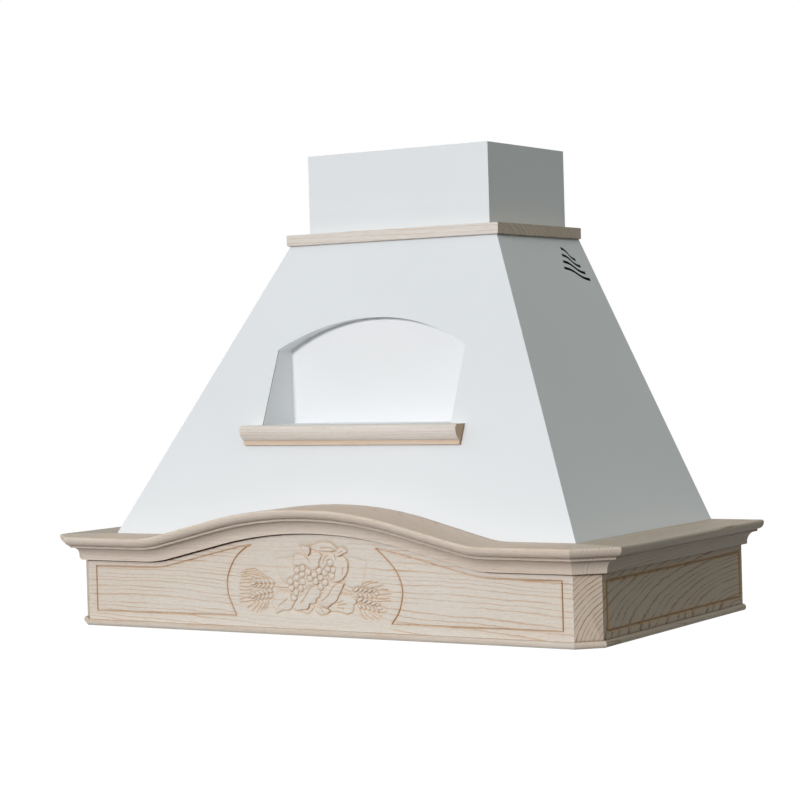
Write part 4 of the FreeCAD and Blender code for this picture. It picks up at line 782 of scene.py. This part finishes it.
# Each leaf: how far its face lies below the panel, its outline and its veins
BACK_LEAVES = [
    (0.5, [(-61, 100), (-56, 102), (-44, 102.5), (-34, 104), (-31, 98), (-34, 92), (-31, 84), (-35, 77),
           (-40, 71), (-47, 69), (-54, 76), (-58, 85), (-60.5, 93)],
     [[(-49, 72), (-45, 67)]]),
    (0.5, [(53, 104), (58, 105.5), (70, 104), (82, 101), (81, 92), (79, 81), (77, 73), (71, 67), (57, 66),
           (48, 68), (46, 75), (51, 84), (55, 95)],
     []),
    (0.6, [(-66, 67), (-55, 69), (-42, 66), (-39, 60), (-51, 60), (-63, 61)],
     [[(-63, 64), (-53, 63), (-44, 63)]]),
    (0.6, [(46, 68), (54, 66), (61, 62), (60, 57), (47, 60)], [[(48, 64), (58, 60)]]),
]
FRONT_LEAVES = [
    (0.3, [(-32, 36), (-23, 37), (-13, 38), (-7, 42), (-2, 40), (-5, 35), (-9, 31.5), (-13, 29.5),
           (-18, 31.5), (-25, 33)],
     [[(-9, 40), (-13, 35)]]),
    (0.2, [(-55, 57), (-42, 57), (-37, 52), (-33, 47), (-36, 40), (-39, 35.5), (-44, 33), (-52, 33),
           (-58, 30.5), (-63, 28), (-64, 32.5), (-68, 38), (-68, 45), (-63, 52)],
     [[(-45, 48), (-52, 43), (-59, 38)]]),
    (0.2, [(42, 58), (52, 57), (62, 53), (66, 48), (63, 44), (61.5, 41), (60, 35), (53, 31.5), (47, 32),
           (40, 34), (30, 34.5), (23, 34), (20, 37.5), (27, 43), (35, 49), (38, 55)],
     [[(36, 42), (49, 44)], [(37, 45), (44, 48.5)], [(37, 39), (46, 38)]]),
    (0.1, [(2, 67.5), (6, 68.5), (8, 63), (8.7, 58), (7, 53), (2, 49), (0, 44), (-9, 43), (-10, 39),
           (-13.5, 35.5), (-19, 35), (-23, 34), (-30, 33.5), (-34, 35.5), (-33, 41), (-30, 47),
           (-23, 52.5), (-15, 60), (-8, 65)],
     [[(1, 66.5), (-6, 64), (-11, 58), (-15, 52), (-22.5, 43)]]),
    (0.1, [(45, 72), (46, 69), (43, 63), (40, 58), (37, 53), (35, 49), (30, 45), (26.5, 43.5), (23, 41),
           (19, 38.5), (13, 39), (7, 41), (3.5, 44), (6, 48), (11, 53), (17, 62), (23, 68), (33, 72.5)],
     [[(43, 72), (34, 70), (27.5, 63), (21, 54), (11.5, 47)]]),
    (0.1, [(1, 39), (8, 38.7), (15, 38.3), (21, 36.7), (23, 34), (19, 31), (12, 29), (5, 30.3), (1, 33.3)],
     [[(9, 37.5), (14, 31)]]),
    (0.1, [(-32, 94), (-33, 99), (-32, 104), (-27.5, 108), (-21, 108.7), (-15, 106.3), (-10.3, 103.3),
           (-8.3, 107.5), (-3, 111.7), (3.5, 112.8), (10, 110.8), (12, 107.5), (9.7, 103), (7.5, 97),
           (6.7, 92), (2, 89), (-5, 89), (-13, 93), (-23, 93)],
     [[(-10.3, 103.3), (-7, 98)], [(-16, 96), (-11, 92)]]),
    (0.1, [(12, 91), (11, 99), (13.7, 106.7), (20, 111), (27.5, 112), (32.5, 110), (34, 106), (42, 107.5),
           (48, 106.7), (52.5, 102), (54, 95), (52.5, 87), (48, 80), (42.5, 75.5), (35, 73), (28, 74),
           (20, 78)],
     [[(15, 97), (16.7, 103), (22.5, 108)], [(34, 106), (36, 102)], [(47, 92), (45, 83)]]),
    (0.05, [(-6, 118.5), (2, 122.5), (12, 125), (22, 125.5), (30, 123.5), (36, 119), (37, 115.5),
            (27, 113.5), (15, 113.7), (3, 114.7), (-4, 116)],
     [[(12, 117.5), (25, 118), (34, 115)]]),
    (0.0, [(-21, 119), (-13, 120), (-7, 118.3), (-5.8, 114), (-7.5, 109), (-10, 107.5), (-13.3, 110),
           (-18.3, 113.3)],
     []),
    (0.0, [(37, 111.7), (38, 116.7), (45, 118.7), (51, 116.7), (53, 113.3), (48, 110.8), (43, 108.7),
           (38, 107.5)],
     [[(40, 111), (46, 114)]]),
]
GRAPE_RADIUS = 4.5
GRAPES = [
    (-34, 50), (-31, 57), (-38, 63), (-23, 63), (-30, 68), (-39, 72), (-19, 72), (-29, 77), (-20, 82),
    (-28, 87), (-19, 90), (-7, 77), (-10, 85), (0, 81), (2, 73), (10, 66), (10, 78), (17, 72), (8, 87),
    (17, 85), (28, 81), (30, 89), (22, 90), (26, 98),
]
# Engraved fields: the curved side towards the carving, then where the fields end and their two heights
LEFT_ARC = [
    (-102, 120), (-114, 114), (-129, 101), (-139, 84), (-143, 70), (-142, 52), (-136, 37), (-129, 23)]
RIGHT_ARC = [(99, 119), (116, 105), (131, 88), (138, 70), (138, 55), (132, 36), (121, 21)]
FIELD_END = 373.0
FIELD_FOOT = 21.5
FIELD_SHOULDER = 84.5
FIELD_STEPS = 60


def field_lines(arc, hand):
    """The four sides of an engraved field, its top following the ogee up to the tip of the arc."""
    tip_x, tip_z = arc[0]
    x = np.linspace(hand * FIELD_END, tip_x, FIELD_STEPS)
    share = (tip_z - FIELD_SHOULDER) / float(ogee(np.array(float(tip_x))))
    top = np.column_stack([x, FIELD_SHOULDER + share * ogee(x)])
    end = np.array([(hand * FIELD_END, FIELD_FOOT), (hand * FIELD_END, FIELD_SHOULDER)])
    foot = np.array([arc[-1], (hand * FIELD_END, FIELD_FOOT)], float)
    return [(end, UPRIGHT_TINT), (top, LEVEL_TINT), (smooth(arc), ARC_TINT), (foot, LEVEL_TINT)]


# Front panel with its carving, as one closed board

PANEL_FACE = -455.0
PANEL_BACK = -435.0
PANEL_HALF = 388.0
PANEL_TOP = 111.5
# The cornice's cove covers the panel's top by this much, and a fine shadow joint runs along its foot
COVE_HEIGHT = 18.0
JOINT_WIDTH = 1.4
JOINT_DEPTH = 1.5
JOINT_TINT = 0.5
# Strip below the cornice with a painted shadow of the cornice's lip: it starts to fade at half this width,
# in millimetres
SHADE_STRIP = 4.0
SHADE_FADE_START = 0.5
CARVED_HALF = 150.0
# Steps of the mesh in millimetres, fine in the carving and at the fields' ends
FINE = 0.5
COARSE = 3.0
ROWS_PER_STEP = 1.25
END_MARGIN = 4
outer = np.concatenate([
    np.arange(CARVED_HALF, FIELD_END - END_MARGIN, COARSE),
    np.arange(FIELD_END - END_MARGIN, FIELD_END + END_MARGIN, FINE),
    [FIELD_END + END_MARGIN, PANEL_HALF]])
inner = np.arange(-CARVED_HALF + FINE, CARVED_HALF - FINE / 2, FINE)
columns = np.concatenate([-outer[::-1], inner, outer])
rows = np.linspace(0, 1, int(PANEL_TOP / FINE * ROWS_PER_STEP))
grid_x = np.repeat(columns[:, None], len(rows), 1)
grid_z = rows[None, :] * (PANEL_TOP + ogee(columns))[:, None]
relief = Relief(grid_x, grid_z)
for awn in AWNS:
    relief.incise(smooth(awn), AWN_DEPTH, AWN_HALF_WIDTH, AWN_TINT)
for level, outline, veins in BACK_LEAVES:
    relief.leaf(outline, level, veins)
for foot, tip, pairs in EARS:
    relief.ear(foot, tip, pairs)
for level, outline, veins in FRONT_LEAVES:
    relief.leaf(outline, level, veins)
for grape in GRAPES:
    relief.bead(grape, GRAPE_RADIUS, GRAPE_RADIUS)
for arc, hand in ((LEFT_ARC, -1), (RIGHT_ARC, 1)):
    for line, scorch in field_lines(arc, hand):
        relief.groove(line, scorch)

below_cornice = PANEL_TOP - COVE_HEIGHT + ogee(relief.x) - relief.z
joint = below_cornice < JOINT_WIDTH
relief.height[joint] = -JOINT_DEPTH
relief.burn[joint] = JOINT_TINT


def add_piece(name, points, faces, burn, material, node):
    """A mesh piece in millimetres that stands for a CAD node."""
    mesh = bpy.data.meshes.new(name)
    mesh.from_pydata((np.array(points) * MM).tolist(), [], faces)
    scorch = mesh.attributes.new("burn", "FLOAT", "POINT")
    scorch.data.foreach_set("value", np.array(burn, np.float32))
    mesh.validate()
    piece = bpy.data.objects.new(name, mesh)
    scene.collection.objects.link(piece)
    dress(piece, material)
    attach(piece, "hood")
    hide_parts(node)
    return piece


wide, high = grid_x.shape
front = np.column_stack([relief.x, PANEL_FACE - np.minimum(relief.height, 0), relief.z])
rear_low = np.column_stack([columns, np.full(wide, PANEL_BACK), np.zeros(wide)])
rear_high = np.column_stack([columns, np.full(wide, PANEL_BACK), grid_z[:, -1]])
panel_points = np.vstack([front, rear_low, rear_high])
index = np.arange(wide * high).reshape(wide, high)
low_index = wide * high + np.arange(wide)
high_index = low_index + wide
panel_faces = np.stack(
    [index[:-1, :-1], index[1:, :-1], index[1:, 1:], index[:-1, 1:]], -1).reshape(-1, 4).tolist()
for i in range(wide - 1):
    panel_faces.append([low_index[i + 1], low_index[i], high_index[i], high_index[i + 1]])
    panel_faces.append([index[i, 0], low_index[i], low_index[i + 1], index[i + 1, 0]])
    panel_faces.append([index[i + 1, -1], high_index[i + 1], high_index[i], index[i, -1]])
panel_faces.append(list(index[0]) + [high_index[0], low_index[0]])
panel_faces.append(list(index[-1, ::-1]) + [low_index[-1], high_index[-1]])
panel_burn = np.concatenate([relief.burn, np.zeros(wide * 2)])
carved_panel = add_piece("carved_panel", panel_points, panel_faces, panel_burn, FRONT_ASH, "front_panel")
# Painted shadow under the cornice's lip: the painted shade of corners shows on the panel only in this strip
painted_shade = carved_panel.data.attributes.new("painted_shade", "FLOAT", "POINT")
under_lip_shade = np.clip(1 + SHADE_FADE_START - below_cornice / SHADE_STRIP, 0, 1)
shade_values = np.concatenate([under_lip_shade, np.zeros(wide * 2)])
painted_shade.data.foreach_set("value", shade_values.astype(np.float32))
carved_panel.data.shade_smooth()
carved_panel.data.set_sharp_from_angle(angle=math.radians(60))

# Side panels with an engraved rectangle

SIDE_FACE = 415.0
SIDE_BACK = 395.0
SIDE_FRONT = -428.0
RECTANGLE_DEPTHS = (-416.0, -9.0)
RECTANGLE_HEIGHTS = (19.4, 82.2)
# Steps across a groove, and the scorching at its bottom, at its edge and beyond
SIDE_GROOVE_HALF = 2.4
SIDE_GROOVE_DEPTH = 2.0
SIDE_STEPS = (-4.0, -SIDE_GROOVE_HALF, 0.0, SIDE_GROOVE_HALF, 4.0)
SIDE_TINTS = (1.0, 0.65, 0.0)
SIDE_LEVEL_SHARE = 0.5


def engraved_side(name, hand, material):
    """A board whose face has a V groove along a rectangle."""
    ys = [SIDE_FRONT]
    zs = [0.0]
    for steps, middles, last in ((ys, RECTANGLE_DEPTHS, 0.0), (zs, RECTANGLE_HEIGHTS, PANEL_TOP)):
        for middle in middles:
            steps.extend(middle + step for step in SIDE_STEPS)
        steps.append(last)
    (first_y, last_y), (first_z, last_z) = RECTANGLE_DEPTHS, RECTANGLE_HEIGHTS
    grid_y, grid_z = np.meshgrid(ys, zs, indexing="ij")
    depth = np.zeros(grid_y.size)
    burn = np.zeros(grid_y.size)
    for start, end, scorch in (
            ((first_y, first_z), (first_y, last_z), 1.0), ((last_y, first_z), (last_y, last_z), 1.0),
            ((first_y, first_z), (last_y, first_z), SIDE_LEVEL_SHARE),
            ((first_y, last_z), (last_y, last_z), SIDE_LEVEL_SHARE)):
        gap = gap_to([start, end], grid_y.ravel(), grid_z.ravel())
        depth = np.maximum(depth, np.clip(1 - gap / SIDE_GROOVE_HALF, 0, 1) * SIDE_GROOVE_DEPTH)
        burn = np.maximum(burn, np.interp(gap, SIDE_STEPS[2:], SIDE_TINTS) * scorch)
    points = np.column_stack([hand * (SIDE_FACE - depth), grid_y.ravel(), grid_z.ravel()]).tolist()
    burn = burn.tolist()
    count = len(zs)
    faces = []
    for i in range(len(ys) - 1):
        for j in range(count - 1):
            faces.append([i * count + j, (i + 1) * count + j, (i + 1) * count + j + 1, i * count + j + 1])
    rear = len(points)
    for y, z in ((ys[0], 0.0), (ys[-1], 0.0), (ys[-1], PANEL_TOP), (ys[0], PANEL_TOP)):
        points.append((hand * SIDE_BACK, y, z))
        burn.append(0.0)
    last = (len(ys) - 1) * count
    faces.append([rear + 3, rear + 2, rear + 1, rear])
    faces.append([rear, rear + 1] + [i * count for i in range(len(ys) - 1, -1, -1)])
    faces.append([rear + 2, rear + 3] + [i * count + count - 1 for i in range(len(ys))])
    faces.append([rear + 3, rear] + list(range(count)))
    faces.append([rear + 1, rear + 2] + list(range(last + count - 1, last - 1, -1)))
    if hand < 0:
        faces = [face[::-1] for face in faces]
    node = "side_panel_right" if hand > 0 else "side_panel_left"
    return add_piece(name, points, faces, burn, material, node)


engraved_side("engraved_side_right", 1, SIDE_ASH_RIGHT)
engraved_side("engraved_side_left", -1, SIDE_ASH_LEFT)

# Expanded metal below and above the inner layers of each grease filter

MESH_NEAR = 25.0
MESH_FAR = 335.0
MESH_FRONT = -305.0
MESH_REAR = -64.0
MESH_LEVELS = (27.2, 31.8)
DIAMOND_LONG = 12.0
DIAMOND_SHORT = 6.0
STRAND_WIDE = 1.1
STRAND_THICK = 0.7
STRAND_LIFT = 0.6
SQUARE = ((-1, -1), (1, -1), (1, 1), (-1, 1))


def expanded_metal(name, hand, body, node):
    """Zigzag strands that meet at their peaks and so form diamonds."""
    steps = int((MESH_FAR - MESH_NEAR) * 2 / DIAMOND_LONG)
    across = np.linspace(MESH_NEAR, MESH_FAR, steps + 1)
    rows_of_strands = int((MESH_REAR - MESH_FRONT) * 2 / DIAMOND_SHORT)
    points = []
    faces = []
    for level, row in itertools.product(MESH_LEVELS, range(rows_of_strands)):
        middle = MESH_FRONT + (row + 0.5) * DIAMOND_SHORT / 2
        first = len(points)
        for i, x in enumerate(across):
            swing = 1 if (i + row) % 2 else -1
            y = middle + swing * (DIAMOND_SHORT / 4 - STRAND_WIDE / 4)
            z = level + swing * STRAND_LIFT
            for dy, dz in SQUARE:
                points.append((hand * x, y + dy * STRAND_WIDE / 2, z + dz * STRAND_THICK / 2))
        for i in range(steps):
            a = first + i * 4
            for k in range(4):
                m = (k + 1) % 4
                faces.append([a + k, a + m, a + 4 + m, a + 4 + k])
        faces.append([first + 3, first + 2, first + 1, first])
        last = first + steps * 4
        faces.append([last, last + 1, last + 2, last + 3])
    if hand > 0:
        faces = [face[::-1] for face in faces]
    mesh = bpy.data.meshes.new(name)
    mesh.from_pydata((np.array(points) * MM).tolist(), [], faces)
    piece = bpy.data.objects.new(name, mesh)
    scene.collection.objects.link(piece)
    dress(piece, ALUMINIUM)
    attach(piece, body)
    dress(nodes[node], WOOL)


expanded_metal("expanded_metal_right", 1, "filter_right", "filter_mesh_right")
expanded_metal("expanded_metal_left", -1, "filter_left", "filter_mesh_left")

# Floor and light

FLOOR_HALF = 40.0
FLOOR_LEVEL = -3.6
FLOOR_TONES = [(0.3, srgb(236, 236, 236)), (0.7, srgb(241, 241, 241))]
FLOOR_GLOW = 0.6
# What the floor shows to rays that only carry light
FLOOR_DIM = srgb(56, 56, 56)
floor_mesh = bpy.data.meshes.new("floor")
floor_mesh.from_pydata(
    [(x * FLOOR_HALF, y * FLOOR_HALF, FLOOR_LEVEL) for x, y in SQUARE], [], [(0, 1, 2, 3)])
floor = bpy.data.objects.new("floor", floor_mesh)
scene.collection.objects.link(floor)
floor_paint = Shader("floor_paint", 0.9)
floor_paint.colour(floor_paint.ramp(floor_paint.noise(floor_paint.place, 3.0), FLOOR_TONES))
glow = floor_paint.add("Emission")
glow.inputs["Strength"].default_value = FLOOR_GLOW
lit = floor_paint.fed(floor_paint.add("AddShader"), floor_paint.bsdf.outputs[0], glow.outputs[0])[0]
dim = floor_paint.add("BsdfDiffuse")
dim.inputs["Color"].default_value = FLOOR_DIM
floor_surface = floor_paint.choose(floor_paint.seen_directly(), dim.outputs[0], lit)
floor_paint.feed(floor_paint.tree.nodes["Material Output"].inputs["Surface"], floor_surface)
dress(floor, floor_paint.material)

# Soft light from all round, a little stronger from above and from the front, behind a plain white view
FILL_COLOUR = (0.94, 1.0, 0.93, 1.0)
FILL_LEVEL = 0.275
FILL_FROM_ABOVE = 0.16
FILL_FROM_FRONT = 0.185
world = bpy.data.worlds.new("studio")
scene.world = world
world.use_nodes = True
sky = Tree(world.node_tree)
fill = sky.tree.nodes["Background"]
fill.inputs["Color"].default_value = FILL_COLOUR
direction = sky.parts(sky.add("TexCoord").outputs["Generated"])
above = sky.math("MULTIPLY_ADD", direction["Z"], FILL_FROM_ABOVE, FILL_LEVEL)
sky.feed(fill.inputs["Strength"], sky.math("MULTIPLY_ADD", direction["Y"], -FILL_FROM_FRONT, above))
seen = sky.add("Background")
seen.inputs["Color"].default_value = WHITE
seen.inputs["Strength"].default_value = 1.0
sky_surface = sky.choose(sky.seen_directly(), fill.outputs[0], seen.outputs[0])
sky.feed(sky.tree.nodes["World Output"].inputs["Surface"], sky_surface)

KEY_FROM = Vector((-0.02, -0.977, 0.21))
key_data = bpy.data.lights.new("key", "SUN")
key_data.energy = 1.69
key_data.angle = math.radians(10)
key_data.color = (1.0, 0.985, 1.02)
key = bpy.data.objects.new("key", key_data)
scene.collection.objects.link(key)
key.rotation_euler = KEY_FROM.to_track_quat("Z", "Y").to_euler()

# Soft lamp below the hood, for its underside

under_data = bpy.data.lights.new("under", "AREA")
under_data.energy = 2.0
under_data.shape = "RECTANGLE"
under_data.size = 0.7
under_data.size_y = 0.36
under = bpy.data.objects.new("under", under_data)
scene.collection.objects.link(under)
under.location = (0.0, -0.21, -0.4)
under.rotation_euler = (math.pi, 0.0, 0.0)
under.visible_camera = False
under.visible_glossy = False
